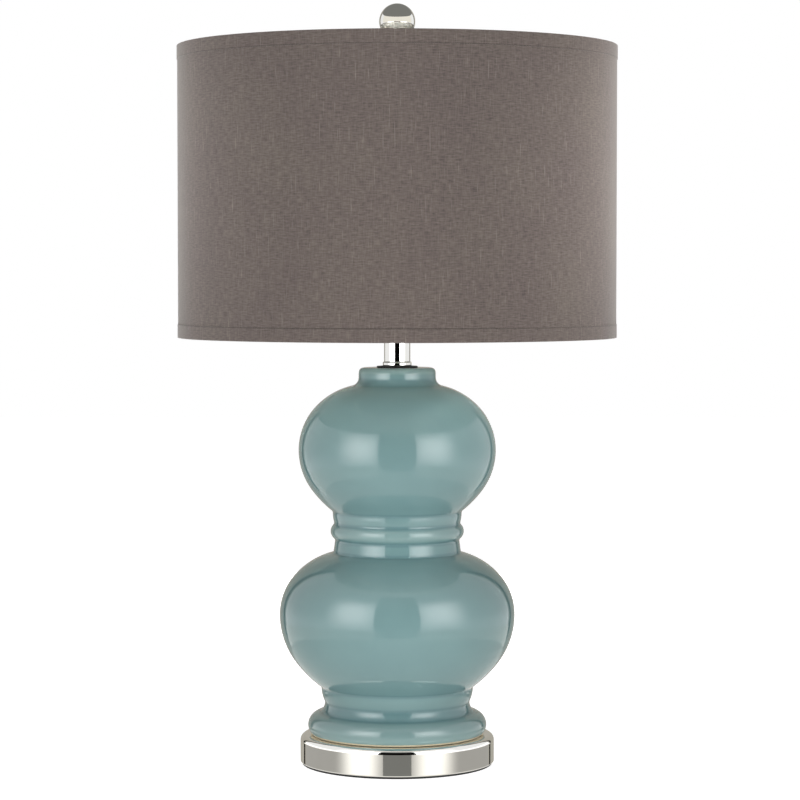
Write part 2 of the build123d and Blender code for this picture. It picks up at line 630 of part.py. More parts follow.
# Terminal screws, one on each flat
with BuildPart() as terminal_screws:
    for sign in (-1, 1):
        with BuildSketch(Plane.YZ.offset(sign * core_flat)):
            with Locations((0, switch_height)):
                Circle(TERMINAL_HEAD_RADIUS)
        extrude(amount=sign * TERMINAL_HEAD_HEIGHT)
        with BuildSketch(Plane.YZ.offset(sign * core_flat)):
            with Locations((0, switch_height)):
                Circle(TERMINAL_SHANK_RADIUS)
        extrude(amount=-sign * (TERMINAL_SHANK_LENGTH - SEAT_GAP))
        with BuildSketch(Plane.YZ.offset(sign * (core_flat + TERMINAL_HEAD_HEIGHT))):
            with Locations((0, switch_height)):
                Rectangle(2 * TERMINAL_HEAD_RADIUS, TERMINAL_SLOT_WIDTH)
        extrude(amount=-sign * TERMINAL_SLOT_DEPTH, mode=Mode.SUBTRACT)

# Screw shell on the core, with the centre contact through its floor
screw_bore = SCREW_SHELL_RADIUS - SCREW_SHELL_WALL
screw_floor = core_top + SCREW_SHELL_WALL
with BuildPart() as screw_shell:
    turn(
        (SCREW_SHELL_HOLE, core_top),
        (SCREW_SHELL_RADIUS, core_top),
        (SCREW_SHELL_RADIUS, core_top + SCREW_SHELL_HEIGHT),
        (screw_bore, core_top + SCREW_SHELL_HEIGHT),
        (screw_bore, screw_floor),
        (SCREW_SHELL_HOLE, screw_floor),
    )

with BuildPart() as centre_contact:
    with BuildSketch(Plane.XY.offset(core_top)):
        Circle(CONTACT_RADIUS)
    extrude(amount=CONTACT_HEIGHT)
    fillet(centre_contact.faces().sort_by(Axis.Z)[-1].edges(), CONTACT_HEIGHT / 3)

# Switch: shaft into the core, fluted knob on its end
shaft_tail = SCREW_SHELL_RADIUS - SWITCH_SHAFT_ENGAGEMENT + SEAT_GAP
knob_back = cap_radius + KNOB_STANDOFF
with BuildPart() as switch_shaft:
    with BuildSketch(Plane.XZ.offset(shaft_tail)):
        with Locations((0, switch_height)):
            Circle(SWITCH_SHAFT_RADIUS)
    extrude(amount=knob_back + KNOB_BORE_DEPTH - shaft_tail)

with BuildPart() as switch_knob:
    with BuildSketch(Plane.XZ.offset(knob_back)):
        with Locations((0, switch_height)):
            Circle(KNOB_RADIUS)
            with PolarLocations(KNOB_RADIUS, KNOB_FLUTES):
                Circle(KNOB_FLUTE_RADIUS, mode=Mode.SUBTRACT)
    extrude(amount=KNOB_LENGTH)
    with BuildSketch(Plane.XZ.offset(knob_back)):
        with Locations((0, switch_height)):
            Circle(SWITCH_SHAFT_RADIUS + BOND_GAP)
    extrude(amount=KNOB_BORE_DEPTH, mode=Mode.SUBTRACT)

# Bulb, stacked on the centre contact
eyelet_bottom = core_top + CONTACT_HEIGHT + SEAT_GAP
insulator_bottom = eyelet_bottom + BULB_EYELET_HEIGHT
bulb_cap_bottom = insulator_bottom + BULB_INSULATOR_HEIGHT
bulb_cap_top = bulb_cap_bottom + BULB_CAP_HEIGHT
bulb_top = eyelet_bottom + BULB_LENGTH
globe_middle = bulb_top - BULB_RADIUS
cap_inside = BULB_CAP_RADIUS - BULB_CAP_WALL
with BuildPart() as bulb_contact:
    with BuildSketch(Plane.XY.offset(eyelet_bottom)):
        Circle(BULB_EYELET_RADIUS)
    extrude(amount=BULB_EYELET_HEIGHT)
    fillet(bulb_contact.faces().sort_by(Axis.Z)[0].edges(), BULB_EYELET_HEIGHT / 2)

with BuildPart() as bulb_insulator:
    turn(
        (0, insulator_bottom),
        (BULB_EYELET_RADIUS, insulator_bottom),
        (BULB_INSULATOR_RADIUS, bulb_cap_bottom),
        (0, bulb_cap_bottom),
    )

with BuildPart() as bulb_cap:
    turn(
        (0, bulb_cap_bottom),
        (BULB_INSULATOR_RADIUS, bulb_cap_bottom),
        (BULB_CAP_RADIUS, bulb_cap_bottom + BULB_CAP_RADIUS - BULB_INSULATOR_RADIUS),
        (BULB_CAP_RADIUS, bulb_cap_top),
        (cap_inside, bulb_cap_top),
        (cap_inside, bulb_cap_bottom + BULB_CAP_RADIUS - BULB_INSULATOR_RADIUS),
        (0, bulb_cap_bottom + BULB_CAP_RADIUS - BULB_INSULATOR_RADIUS),
    )

glass_bottom = bulb_cap_top - BULB_GLASS_ENGAGEMENT
glass_foot = cap_inside - BOND_GAP
throat_height = bulb_cap_top + BULB_THROAT_RISE
with BuildPart() as bulb_glass:
    with BuildSketch(Plane.XZ):
        with BuildLine():
            for wall in (0, BULB_GLASS_WALL):
                waist = (BULB_RADIUS - wall, globe_middle)
                throat = (BULB_THROAT_RADIUS - wall, throat_height)
                flank = TangentArc(waist, throat, tangent=down)
                TangentArc(throat, (glass_foot - wall, bulb_cap_top), tangent=flank % 1)
                Line((glass_foot - wall, bulb_cap_top), (glass_foot - wall, glass_bottom))
                TangentArc(waist, (0, bulb_top - wall), tangent=up)
            Line((glass_foot, glass_bottom), (glass_foot - BULB_GLASS_WALL, glass_bottom))
            Line((0, bulb_top), (0, bulb_top - BULB_GLASS_WALL))
        make_face()
    revolve(axis=Axis.Z)

stem_bottom = bulb_cap_bottom + BULB_CAP_RADIUS - BULB_INSULATOR_RADIUS
stem_top = stem_bottom + BULB_STEM_HEIGHT
with BuildPart() as bulb_stem:
    turn(
        (0, stem_bottom),
        (BULB_STEM_RADIUS, stem_bottom),
        (BULB_STEM_TIP_RADIUS, stem_top),
        (0, stem_top),
    )

with BuildPart() as bulb_filament:
    with BuildSketch(Plane.YZ.offset(-FILAMENT_HALF_SPAN)):
        with Locations((0, stem_top + FILAMENT_RADIUS)):
            Circle(FILAMENT_RADIUS)
    extrude(amount=2 * FILAMENT_HALF_SPAN)

# Shade radii, from the fabric inwards
fabric_inside = SHADE_RADIUS - FABRIC_THICKNESS
liner_outside = fabric_inside - BOND_GAP
liner_inside = liner_outside - LINER_THICKNESS
ring_middle = liner_inside - BOND_GAP - RING_WIRE_RADIUS
tuck_outside = ring_middle - RING_WIRE_RADIUS - BOND_GAP
trim_inner = SHADE_RADIUS + BOND_GAP
trim_outer = trim_inner + TRIM_THICKNESS
fabric_bottom = shade_bottom + TRIM_THICKNESS
fabric_top = shade_top - TRIM_THICKNESS
top_ring_height = fabric_top - BOND_GAP - RING_WIRE_RADIUS
bottom_ring_height = fabric_bottom + BOND_GAP + RING_WIRE_RADIUS

# Fabric drum with its lap seam at the back, between the trims
seam_bottom = shade_bottom + TRIM_HEIGHT
seam_length = SHADE_HEIGHT - 2 * TRIM_HEIGHT
with BuildPart() as shade_fabric:
    ring(fabric_inside, SHADE_RADIUS, fabric_bottom, fabric_top)
    with BuildSketch(Plane.XY.offset(seam_bottom)):
        Circle(SHADE_RADIUS + SEAM_THICKNESS)
        Circle(SHADE_RADIUS - FABRIC_THICKNESS / 2, mode=Mode.SUBTRACT)
        with Locations((0, SHADE_RADIUS)):
            Rectangle(SEAM_WIDTH, SEAM_WIDTH, mode=Mode.INTERSECT)
    extrude(amount=seam_length)

with BuildPart() as shade_liner:
    ring(liner_inside, liner_outside, fabric_bottom, fabric_top)

# Trims: bands folded over the edges and round the rings
trims = {}
for edge, outer_end, sign in (("top", shade_top, -1), ("bottom", shade_bottom, 1)):
    with BuildPart() as trim:
        turn(
            (trim_inner, outer_end + sign * TRIM_HEIGHT),
            (trim_outer, outer_end + sign * TRIM_HEIGHT),
            (trim_outer, outer_end),
            (tuck_outside - TRIM_THICKNESS, outer_end),
            (tuck_outside - TRIM_THICKNESS, outer_end + sign * TRIM_TUCK),
            (tuck_outside, outer_end + sign * TRIM_TUCK),
            (tuck_outside, outer_end + sign * TRIM_THICKNESS),
            (trim_inner, outer_end + sign * TRIM_THICKNESS),
        )
        if edge == "top":
            with PolarLocations(tuck_outside, ARM_COUNT, start_angle=90):
                with Locations((0, 0, shade_top - TRIM_THICKNESS)):
                    Box(
                        ARM_NOTCH_LENGTH,
                        2 * (ARM_WIRE_RADIUS + SLIP_GAP),
                        TRIM_TUCK - TRIM_THICKNESS,
                        align=(Align.CENTER, Align.CENTER, Align.MAX),
                        mode=Mode.SUBTRACT,
                    )
    trims[f"trim_{edge}"] = trim

# Wire rings in both edges of the shade
rings = {}
for edge, height in (("top", top_ring_height), ("bottom", bottom_ring_height)):
    with BuildPart() as wire_ring:
        with BuildSketch(Plane.XZ):
            with Locations((ring_middle, height)):
                Circle(RING_WIRE_RADIUS)
        revolve(axis=Axis.Z)
    rings[f"{edge}_ring"] = wire_ring

# Spider: arms that slope down from the top ring to the hub on the stud
arm_start = (HUB_RADIUS - ARM_WELD, 0, spider_hub_top + ARM_WIRE_RADIUS + BOND_GAP)
arm_end = (tuck_outside, 0, top_ring_height + RING_WIRE_RADIUS - ARM_WIRE_RADIUS)
with BuildPart() as spider_arms:
    with BuildLine(mode=Mode.PRIVATE):
        arm_line = Line(arm_start, arm_end)
    with BuildSketch(Plane(origin=arm_start, z_dir=arm_line % 0), mode=Mode.PRIVATE) as arm_section:
        Circle(ARM_WIRE_RADIUS)
    arm = extrude(arm_section.sketch, amount=arm_line.length, mode=Mode.PRIVATE)
    with PolarLocations(0, ARM_COUNT, start_angle=90):
        add(arm)

with BuildPart() as spider_hub:
    ring(STUD_RADIUS + RUNNING_GAP, HUB_RADIUS, spider_hub_bottom, spider_hub_top)

# Finial: threaded base with a peg, and a hollow ball drilled for the peg
finial_flange_top = finial_bottom + FINIAL_FLANGE_THICKNESS
finial_neck_bottom = ball_bottom - FINIAL_NECK_HEIGHT
peg_top = ball_bottom + FINIAL_PEG_LENGTH
thread_top = stud_top + SEAT_GAP
thread_bore = STUD_RADIUS + RUNNING_GAP
ball_middle = ball_bottom + FINIAL_BALL_RADIUS
ball_flat = ball_middle - (FINIAL_BALL_RADIUS**2 - FINIAL_NECK_RADIUS**2) ** 0.5
with BuildPart() as finial_base:
    turn(
        (thread_bore, finial_bottom),
        (FINIAL_FLANGE_RADIUS, finial_bottom),
        (FINIAL_FLANGE_RADIUS, finial_flange_top),
        (FINIAL_WAIST_RADIUS, finial_flange_top + FINIAL_FLANGE_THICKNESS),
        (FINIAL_WAIST_RADIUS, finial_neck_bottom),
        (FINIAL_NECK_RADIUS, finial_neck_bottom + FINIAL_NECK_RADIUS - FINIAL_WAIST_RADIUS),
        (FINIAL_NECK_RADIUS, ball_flat),
        (FINIAL_PEG_RADIUS, ball_flat),
        (FINIAL_PEG_RADIUS, peg_top),
        (0, peg_top),
        (0, thread_top),
        (thread_bore, thread_top),
    )

with BuildPart() as finial_ball:
    with Locations((0, 0, ball_middle)):
        Sphere(FINIAL_BALL_RADIUS)
        Sphere(FINIAL_BALL_RADIUS - FINIAL_BALL_WALL, mode=Mode.SUBTRACT)
    ring(0, FINIAL_PEG_RADIUS + RUNNING_GAP, ball_bottom, peg_top + SEAT_GAP, mode=Mode.SUBTRACT)
    split(bisect_by=Plane.XY.offset(ball_flat + SEAT_GAP), keep=Keep.TOP)

pieces = {
    "base_pad": base_pad,
    "base_plate": base_plate,
    "base_weight": base_weight,
    "cord_bushing": cord_bushing,
    "lamp_pipe": lamp_pipe,
    "pipe_washer": pipe_washer,
    "pipe_lock_washer": pipe_lock_washer,
    "pipe_nut": pipe_nut,
    "foot_gasket": foot_gasket,
    "ceramic_body": ceramic_body,
    "neck_washer": neck_washer,
    "neck_collar": neck_collar,
    "neck_tube": neck_tube,
    "tube_cap": tube_cap,
    "harp_saddle": harp_saddle,
    "harp_bow": harp_bow,
    "harp_stud": harp_stud,
    **ferrules,
    "socket_cap": socket_cap,
    "socket_set_screw": socket_set_screw,
    "socket_shell": socket_shell,
    "socket_liner": socket_liner,
    "socket_core": socket_core,
    "terminal_screws": terminal_screws,
    "screw_shell": screw_shell,
    "centre_contact": centre_contact,
    "switch_shaft": switch_shaft,
    "switch_knob": switch_knob,
    "bulb_contact": bulb_contact,
    "bulb_insulator": bulb_insulator,
    "bulb_cap": bulb_cap,
    "bulb_glass": bulb_glass,
    "bulb_stem": bulb_stem,
    "bulb_filament": bulb_filament,
    "shade_fabric": shade_fabric,
    "shade_liner": shade_liner,
    **trims,
    **rings,
    "spider_arms": spider_arms,
    "spider_hub": spider_hub,
    "finial_base": finial_base,
    "finial_ball": finial_ball,
}
os.makedirs("parts", exist_ok=True)
for name, piece in pieces.items():
    piece.part.label = name
    export_step(piece.part, f"parts/{name}.step")
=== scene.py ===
"""Looks of the table lamp: glazed gourd body, chrome base and neck, linen drum shade and what is inside it.

The scene is in metres. Sizes are written in millimetres and turned to metres with MM.
"""
import json
import math

import bmesh
import bpy
import mathutils
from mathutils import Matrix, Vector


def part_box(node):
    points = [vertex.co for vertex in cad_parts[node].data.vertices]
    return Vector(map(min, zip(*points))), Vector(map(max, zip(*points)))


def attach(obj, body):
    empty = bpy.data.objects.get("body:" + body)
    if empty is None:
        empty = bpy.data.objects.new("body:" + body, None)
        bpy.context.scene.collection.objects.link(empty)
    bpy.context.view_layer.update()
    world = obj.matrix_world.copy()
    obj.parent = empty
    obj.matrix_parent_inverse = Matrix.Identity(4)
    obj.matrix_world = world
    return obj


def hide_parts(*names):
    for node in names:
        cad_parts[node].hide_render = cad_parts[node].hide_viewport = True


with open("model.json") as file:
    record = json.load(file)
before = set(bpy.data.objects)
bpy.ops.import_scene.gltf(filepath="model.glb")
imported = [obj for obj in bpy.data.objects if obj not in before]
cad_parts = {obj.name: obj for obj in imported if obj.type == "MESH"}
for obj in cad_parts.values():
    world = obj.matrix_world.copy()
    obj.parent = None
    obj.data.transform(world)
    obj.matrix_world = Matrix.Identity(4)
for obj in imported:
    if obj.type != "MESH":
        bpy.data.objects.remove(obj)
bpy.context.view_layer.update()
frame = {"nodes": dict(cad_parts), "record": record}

MM = 0.001
TURN_STEPS = 192  # facets round a turned piece
ARC_STEP = 1.0  # length of one facet along an outline's arcs
ARC_FACETS = 6  # and the least number of them
ARC_LEAD = 0.15  # straight run kept beside an arc, so that shading stays flat beyond it
SHARPEST = 40  # degrees between faces that are still shaded as one
GLAZE_EVEN = 0.5  # the body's glaze_thin where it is flat; 0 is in a groove and 1 on a ridge
UP = (0, 1)
DOWN = (0, -1)
OUT = (1, 0)


def linear(hex_colour):
    """An sRGB hex colour as linear red, green, blue and alpha."""
    channels = [int(hex_colour[i:i + 2], 16) / 255 for i in (1, 3, 5)]
    return [c / 12.92 if c <= 0.04045 else ((c + 0.055) / 1.055) ** 2.4 for c in channels] + [1]


def add(tree, kind, links=None, **settings):
    """Add a node with its settings, and give each input a value or another node's output."""
    made = tree.nodes.new(kind)
    for name, value in settings.items():
        setattr(made, name, value)
    for socket, value in (links or {}).items():
        if isinstance(value, bpy.types.NodeSocket):
            tree.links.new(value, made.inputs[socket])
        else:
            made.inputs[socket].default_value = value
    return made


def finish(name, **sockets):
    """A material whose constant values sit on the shader's own sockets."""
    made = bpy.data.materials.new(name)
    made.use_nodes = True
    shader = made.node_tree.nodes["Principled BSDF"]
    for socket, value in sockets.items():
        shader.inputs[socket.replace("_", " ")].default_value = value
    return made, made.node_tree, shader.inputs


# Outlines of turned pieces: lists of (radius, height) in mm


def heights(node):
    """Lowest and highest point of a CAD node, in mm."""
    low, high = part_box(node)
    return low.z / MM, high.z / MM


def radius_of(node):
    """Largest radius of a round CAD node on the lamp's axis, in mm."""
    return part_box(node)[1].x / MM


def bow(start, heading, end):
    """Points of the arc that leaves start along heading and reaches end, and its heading there."""
    across = (-heading[1], heading[0])
    chord = (end[0] - start[0], end[1] - start[1])
    reach = (chord[0] ** 2 + chord[1] ** 2) / (2 * (across[0] * chord[0] + across[1] * chord[1]))
    centre = (start[0] + across[0] * reach, start[1] + across[1] * reach)
    first = math.atan2(start[1] - centre[1], start[0] - centre[0])
    last = math.atan2(end[1] - centre[1], end[0] - centre[0])
    sign = math.copysign(1, reach)
    sweep = sign * ((sign * (last - first)) % math.tau)
    steps = max(ARC_FACETS, math.ceil(abs(reach * sweep) / ARC_STEP))
    angles = [first + sweep * i / steps for i in range(steps + 1)]
    radius = abs(reach)
    points = [(centre[0] + radius * math.cos(a), centre[1] + radius * math.sin(a)) for a in angles]
    return points, (-sign * math.sin(last), sign * math.cos(last))


def arch(start, top, end):
    """Points of the arc from start through top to end."""
    first = (top[0] - start[0], top[1] - start[1])
    second = (end[0] - start[0], end[1] - start[1])
    cross = 2 * (first[0] * second[1] - first[1] * second[0])
    first_square = first[0] ** 2 + first[1] ** 2
    second_square = second[0] ** 2 + second[1] ** 2
    centre = (
        (second[1] * first_square - first[1] * second_square) / cross,
        (first[0] * second_square - second[0] * first_square) / cross,
    )
    length = math.hypot(*centre)
    side = math.copysign(1 / length, -cross)
    return bow(start, (-centre[1] * side, centre[0] * side), end)[0]


def eased(*corners):
    """A closed outline whose corners (radius, height, ease) are rounded by their ease."""
    points = []
    for i, (x, y, ease) in enumerate(corners):
        if not ease:
            points.append((x, y))
            continue
        headings = []
        for other in (corners[i - 1], corners[(i + 1) % len(corners)]):
            length = math.hypot(other[0] - x, other[1] - y)
            headings.append(((other[0] - x) / length, (other[1] - y) / length))
        (ax, ay), (bx, by) = headings
        opening = math.acos(max(-1, min(1, ax * bx + ay * by)))
        cut = ease / math.tan(opening / 2)
        start = (x + ax * cut, y + ay * cut)
        end = (x + bx * cut, y + by * cut)
        points.append((start[0] + ax * ARC_LEAD, start[1] + ay * ARC_LEAD))
        points += bow(start, (-ax, -ay), end)[0]
        points.append((end[0] + bx * ARC_LEAD, end[1] + by * ARC_LEAD))
    return points


def softened(points, spacing, reach):
    """An open outline with evenly spaced points, its creases rounded over reach on each side."""
    even = [points[0]]
    left = spacing
    for (x0, y0), (x1, y1) in zip(points, points[1:]):
        length = math.hypot(x1 - x0, y1 - y0)
        done = 0
        while length - done >= left:
            done += left
            share = done / length
            even.append((x0 + (x1 - x0) * share, y0 + (y1 - y0) * share))
            left = spacing
        left -= length - done
    span = round(reach / spacing)
    weights = [math.exp(-2 * (k / span) ** 2) for k in range(-span, span + 1)]
    soft = []
    for i in range(len(even)):
        near = [even[min(max(i + k, 0), len(even) - 1)] for k in range(-span, span + 1)]
        soft.append(tuple(
            sum(w * p[axis] for w, p in zip(weights, near)) / sum(weights) for axis in (0, 1)
        ))
    soft[0] = points[0]
    soft[-1] = points[-1]
    return soft


# Meshes
slots = {part["node"]: part["material_slot"] for part in frame["record"]["subparts"]}


def piece(name, body, mesh, look, replaced=()):
    """Put a mesh into the scene on a body, with its material, in place of CAD nodes."""
    made = bpy.data.objects.new(name, mesh)
    bpy.context.scene.collection.objects.link(made)
    for one in look if isinstance(look, tuple) else (look,):
        mesh.materials.append(one)
    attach(made, body)
    for node in replaced:
        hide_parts(node)
    return made


def smooth(mesh):
    """Shade a mesh smooth, but keep its sharp edges."""
    mesh.shade_smooth()
    mesh.set_sharp_from_angle(angle=math.radians(SHARPEST))


def turned(name, outline, swell=None):
    """Turn a closed outline about the lamp's axis. UVs run round and along it, in metres."""
    vertices = []
    rings = []
    for radius, height in outline:
        steps = TURN_STEPS if radius > 0 else 1
        rings.append([len(vertices) + i % steps for i in range(TURN_STEPS)])
        for i in range(steps):
            angle = math.tau * i / TURN_STEPS
            reach = radius + (swell(angle) if swell else 0)
            vertices.append((reach * math.sin(angle) * MM, reach * math.cos(angle) * MM, height * MM))
    widest = max(radius for radius, _ in outline)
    faces = []
    uvs = []
    along = 0
    for k, ring in enumerate(rings):
        after = (k + 1) % len(rings)
        length = math.dist(outline[k], outline[after])
        if ring[0] == ring[1] and rings[after][0] == rings[after][1]:
            continue
        for i in range(TURN_STEPS):
            j = (i + 1) % TURN_STEPS
            corners = [
                (ring[i], i, 0), (ring[j], i + 1, 0),
                (rings[after][j], i + 1, 1), (rings[after][i], i, 1),
            ]
            if corners[0][0] == corners[1][0]:
                corners.pop(1)
            elif corners[2][0] == corners[3][0]:
                corners.pop(3)
            faces.append([corner for corner, _, _ in corners])
            for _, step, far in corners:
                uvs += [math.tau * step / TURN_STEPS * widest * MM, (along + far * length) * MM]
        along += length
    mesh = bpy.data.meshes.new(name)
    mesh.from_pydata(vertices, [], faces)
    mesh.uv_layers.new(name="flat").data.foreach_set("uv", uvs)
    shape = bmesh.new()
    shape.from_mesh(mesh)
    bmesh.ops.recalc_face_normals(shape, faces=shape.faces)
    shape.to_mesh(mesh)
    shape.free()
    smooth(mesh)
    return mesh


# Materials of the surfaces that show


def glaze():
    """Stoneware under a dipped duck-egg glaze, fired glossy: clouded, pale on ridges, dark in grooves."""
    made, tree, shader = finish("duck_egg_glaze", IOR=1.52, Specular_IOR_Level=0.5)
    place = add(tree, "ShaderNodeTexCoord").outputs["Object"]
    cloud_size = 45 * MM
    peel_size = 4 * MM
    cloud = add(tree, "ShaderNodeTexNoise", {"Vector": place, "Scale": 1 / cloud_size, "Detail": 4.0})
    thin = add(tree, "ShaderNodeAttribute", attribute_name="glaze_thin")
    body = add(
        tree, "ShaderNodeMix",
        {0: cloud.outputs["Fac"], 6: linear("#7A9C9E"), 7: linear("#84A6A7")}, data_type="RGBA",
    )
    pooled = add(
        tree, "ShaderNodeMix",
        {0: thin.outputs["Fac"], 6: linear("#5F8388"), 7: linear("#9DB8B5")}, data_type="RGBA",
    )
    strength = add(tree, "ShaderNodeMath", {0: thin.outputs["Fac"], 1: GLAZE_EVEN}, operation="SUBTRACT")
    amount = add(tree, "ShaderNodeMath", {0: strength.outputs[0]}, operation="ABSOLUTE")
    colour = add(
        tree, "ShaderNodeMix",
        {0: amount.outputs[0], 6: body.outputs[2], 7: pooled.outputs[2]}, data_type="RGBA",
    )
    tree.links.new(colour.outputs[2], shader["Base Color"])
    rough = add(
        tree, "ShaderNodeMapRange",
        {"Value": cloud.outputs["Fac"], "To Min": 0.035, "To Max": 0.07},
    )
    tree.links.new(rough.outputs[0], shader["Roughness"])
    peel = add(tree, "ShaderNodeTexNoise", {"Vector": place, "Scale": 1 / peel_size, "Detail": 1.0})
    bump = add(
        tree, "ShaderNodeBump",
        {"Height": peel.outputs["Fac"], "Distance": 0.02 * MM, "Strength": 0.35},
    )
    tree.links.new(bump.outputs[0], shader["Normal"])
    return made


def bisque():
    """Unglazed stoneware, wiped clean before firing: chalky cream with a sandy grit."""
    made, tree, shader = finish("bisque_stoneware", Roughness=0.9)
    place = add(tree, "ShaderNodeTexCoord").outputs["Object"]
    grit_size = 0.9 * MM
    grit = add(tree, "ShaderNodeTexNoise", {"Vector": place, "Scale": 1 / grit_size, "Detail": 3.0})
    colour = add(
        tree, "ShaderNodeMix",
        {0: grit.outputs["Fac"], 6: linear("#B9AA8A"), 7: linear("#E4D9BE")}, data_type="RGBA",
    )
    tree.links.new(colour.outputs[2], shader["Base Color"])
    bump = add(
        tree, "ShaderNodeBump",
        {"Height": grit.outputs["Fac"], "Distance": 0.15 * MM, "Strength": 0.6},
    )
    tree.links.new(bump.outputs[0], shader["Normal"])
    return made


def chrome():
    """Bright chrome plate on a buffed casting: mirror clear, with faint buffing lines and handling haze."""
    made, tree, shader = finish("chrome_plate", Metallic=1.0)
    place = add(tree, "ShaderNodeTexCoord").outputs["Object"]
    haze_size = 30 * MM
    haze = add(tree, "ShaderNodeTexNoise", {"Vector": place, "Scale": 1 / haze_size, "Detail": 5.0})
    rough = add(
        tree, "ShaderNodeMapRange",
        {"Value": haze.outputs["Fac"], "From Min": 0.35, "From Max": 0.75, "To Min": 0.03, "To Max": 0.075},
    )
    tree.links.new(rough.outputs[0], shader["Roughness"])
    tint = add(
        tree, "ShaderNodeMix",
        {0: haze.outputs["Fac"], 6: linear("#EDEDEB"), 7: linear("#E3E2DE")}, data_type="RGBA",
    )
    tree.links.new(tint.outputs[2], shader["Base Color"])
    # Buffing lines are finer than a picture point, so they are drawn 0.6 mm apart and 50 mm long
    line_gap = 0.6 * MM
    line_run = 50 * MM
    lines = add(
        tree, "ShaderNodeMapping",
        {"Vector": place, "Scale": (1 / line_run, 1 / line_run, 1 / line_gap)},
    )
    buffed = add(tree, "ShaderNodeTexNoise", {"Vector": lines.outputs[0], "Scale": 1.0, "Detail": 2.0})
    bump = add(
        tree, "ShaderNodeBump",
        {"Height": buffed.outputs["Fac"], "Distance": 0.003 * MM, "Strength": 0.25},
    )
    tree.links.new(bump.outputs[0], shader["Normal"])
    return made


def linen():
    """Linen-look weave in taupe: short uneven weft dashes over a fainter warp, and a few thin pale slubs."""
    made, tree, shader = finish(
        "taupe_linen", Roughness=0.88, Specular_IOR_Level=0.25,
        Sheen_Weight=1.0, Sheen_Roughness=0.35, Sheen_Tint=linear("#FFFCF8"),
    )
    flat = add(tree, "ShaderNodeUVMap", uv_map="flat").outputs[0]
    # Threads are 0.45 mm apart on the cloth and are drawn 1.2 mm apart, so that they show; sizes in mm
    runs = {"weft": (7, 1.2), "warp": (1.2, 9), "slub": (1.4, 32), "tone": (90, 90)}
    grain = {}
    for name, (across, upward) in runs.items():
        place = add(
            tree, "ShaderNodeMapping",
            {"Vector": flat, "Scale": (1 / (across * MM), 1 / (upward * MM), 1)},
        )
        noise = add(
            tree, "ShaderNodeTexNoise",
            {"Vector": place.outputs[0], "Scale": 1.0, "Detail": 2.0, "Roughness": 0.6},
            noise_dimensions="2D",
        )
        grain[name] = noise.outputs["Fac"]
    threads = add(tree, "ShaderNodeMix", {0: 0.36, 2: grain["weft"], 3: grain["warp"]})
    shade = add(
        tree, "ShaderNodeMapRange",
        {"Value": threads.outputs[0], "From Min": 0.3, "From Max": 0.7},
    )
    cloth = add(
        tree, "ShaderNodeMix",
        {0: shade.outputs[0], 6: linear("#625956"), 7: linear("#867B76")}, data_type="RGBA",
    )
    toned = add(
        tree, "ShaderNodeMix",
        {0: grain["tone"], 6: linear("#E9E4E6"), 7: linear("#FFFFF8")}, data_type="RGBA",
    )
    dyed = add(
        tree, "ShaderNodeMix",
        {0: 1.0, 6: cloth.outputs[2], 7: toned.outputs[2]}, data_type="RGBA", blend_type="MULTIPLY",
    )
    stray = add(
        tree, "ShaderNodeMapRange",
        {"Value": grain["slub"], "From Min": 0.66, "From Max": 0.8, "To Max": 0.5},
    )
    colour = add(
        tree, "ShaderNodeMix",
        {0: stray.outputs[0], 6: dyed.outputs[2], 7: linear("#A89C94")}, data_type="RGBA",
    )
    # Painted shade: a cut edge is drawn darker over its last millimetre, as the thin shade line along a
    # band's edge
    edge = add(tree, "ShaderNodeSeparateXYZ", {0: flat})
    painted_edge_shade = add(
        tree, "ShaderNodeMapRange",
        {"Value": edge.outputs["Y"], "From Min": 0.6 * MM, "From Max": 1.6 * MM, "To Min": 0.6},
    )
    edge_shaded_colour = add(
        tree, "ShaderNodeMix",
        {0: 1.0, 6: colour.outputs[2], 7: painted_edge_shade.outputs[0]}, data_type="RGBA", blend_type="MULTIPLY",
    )
    tree.links.new(edge_shaded_colour.outputs[2], shader["Base Color"])
    raised = add(tree, "ShaderNodeMath", {0: stray.outputs[0], 1: threads.outputs[0]}, operation="ADD")
    bump = add(
        tree, "ShaderNodeBump",
        {"Height": raised.outputs[0], "Distance": 0.25 * MM, "Strength": 0.4},
    )
    tree.links.new(bump.outputs[0], shader["Normal"])
    return made


def styrene():
    """White styrene sheet behind the cloth: matte and milky, with a faint drawn grain up the drum."""
    made, tree, shader = finish("white_styrene", Roughness=0.5, Subsurface_Weight=0.05)
    flat = add(tree, "ShaderNodeUVMap", uv_map="flat").outputs[0]
    grain_gap = 3 * MM
    grain_run = 60 * MM
    drawn = add(tree, "ShaderNodeMapping", {"Vector": flat, "Scale": (1 / grain_gap, 1 / grain_run, 1)})
    grain = add(
        tree, "ShaderNodeTexNoise",
        {"Vector": drawn.outputs[0], "Scale": 1.0, "Detail": 3.0}, noise_dimensions="2D",
    )
    colour = add(
        tree, "ShaderNodeMix",
        {0: grain.outputs["Fac"], 6: linear("#E6E2D8"), 7: linear("#F2EFE8")}, data_type="RGBA",
    )
    tree.links.new(colour.outputs[2], shader["Base Color"])
    bump = add(
        tree, "ShaderNodeBump",
        {"Height": grain.outputs["Fac"], "Distance": 0.05 * MM, "Strength": 0.3},
    )
    tree.links.new(bump.outputs[0], shader["Normal"])
    return made


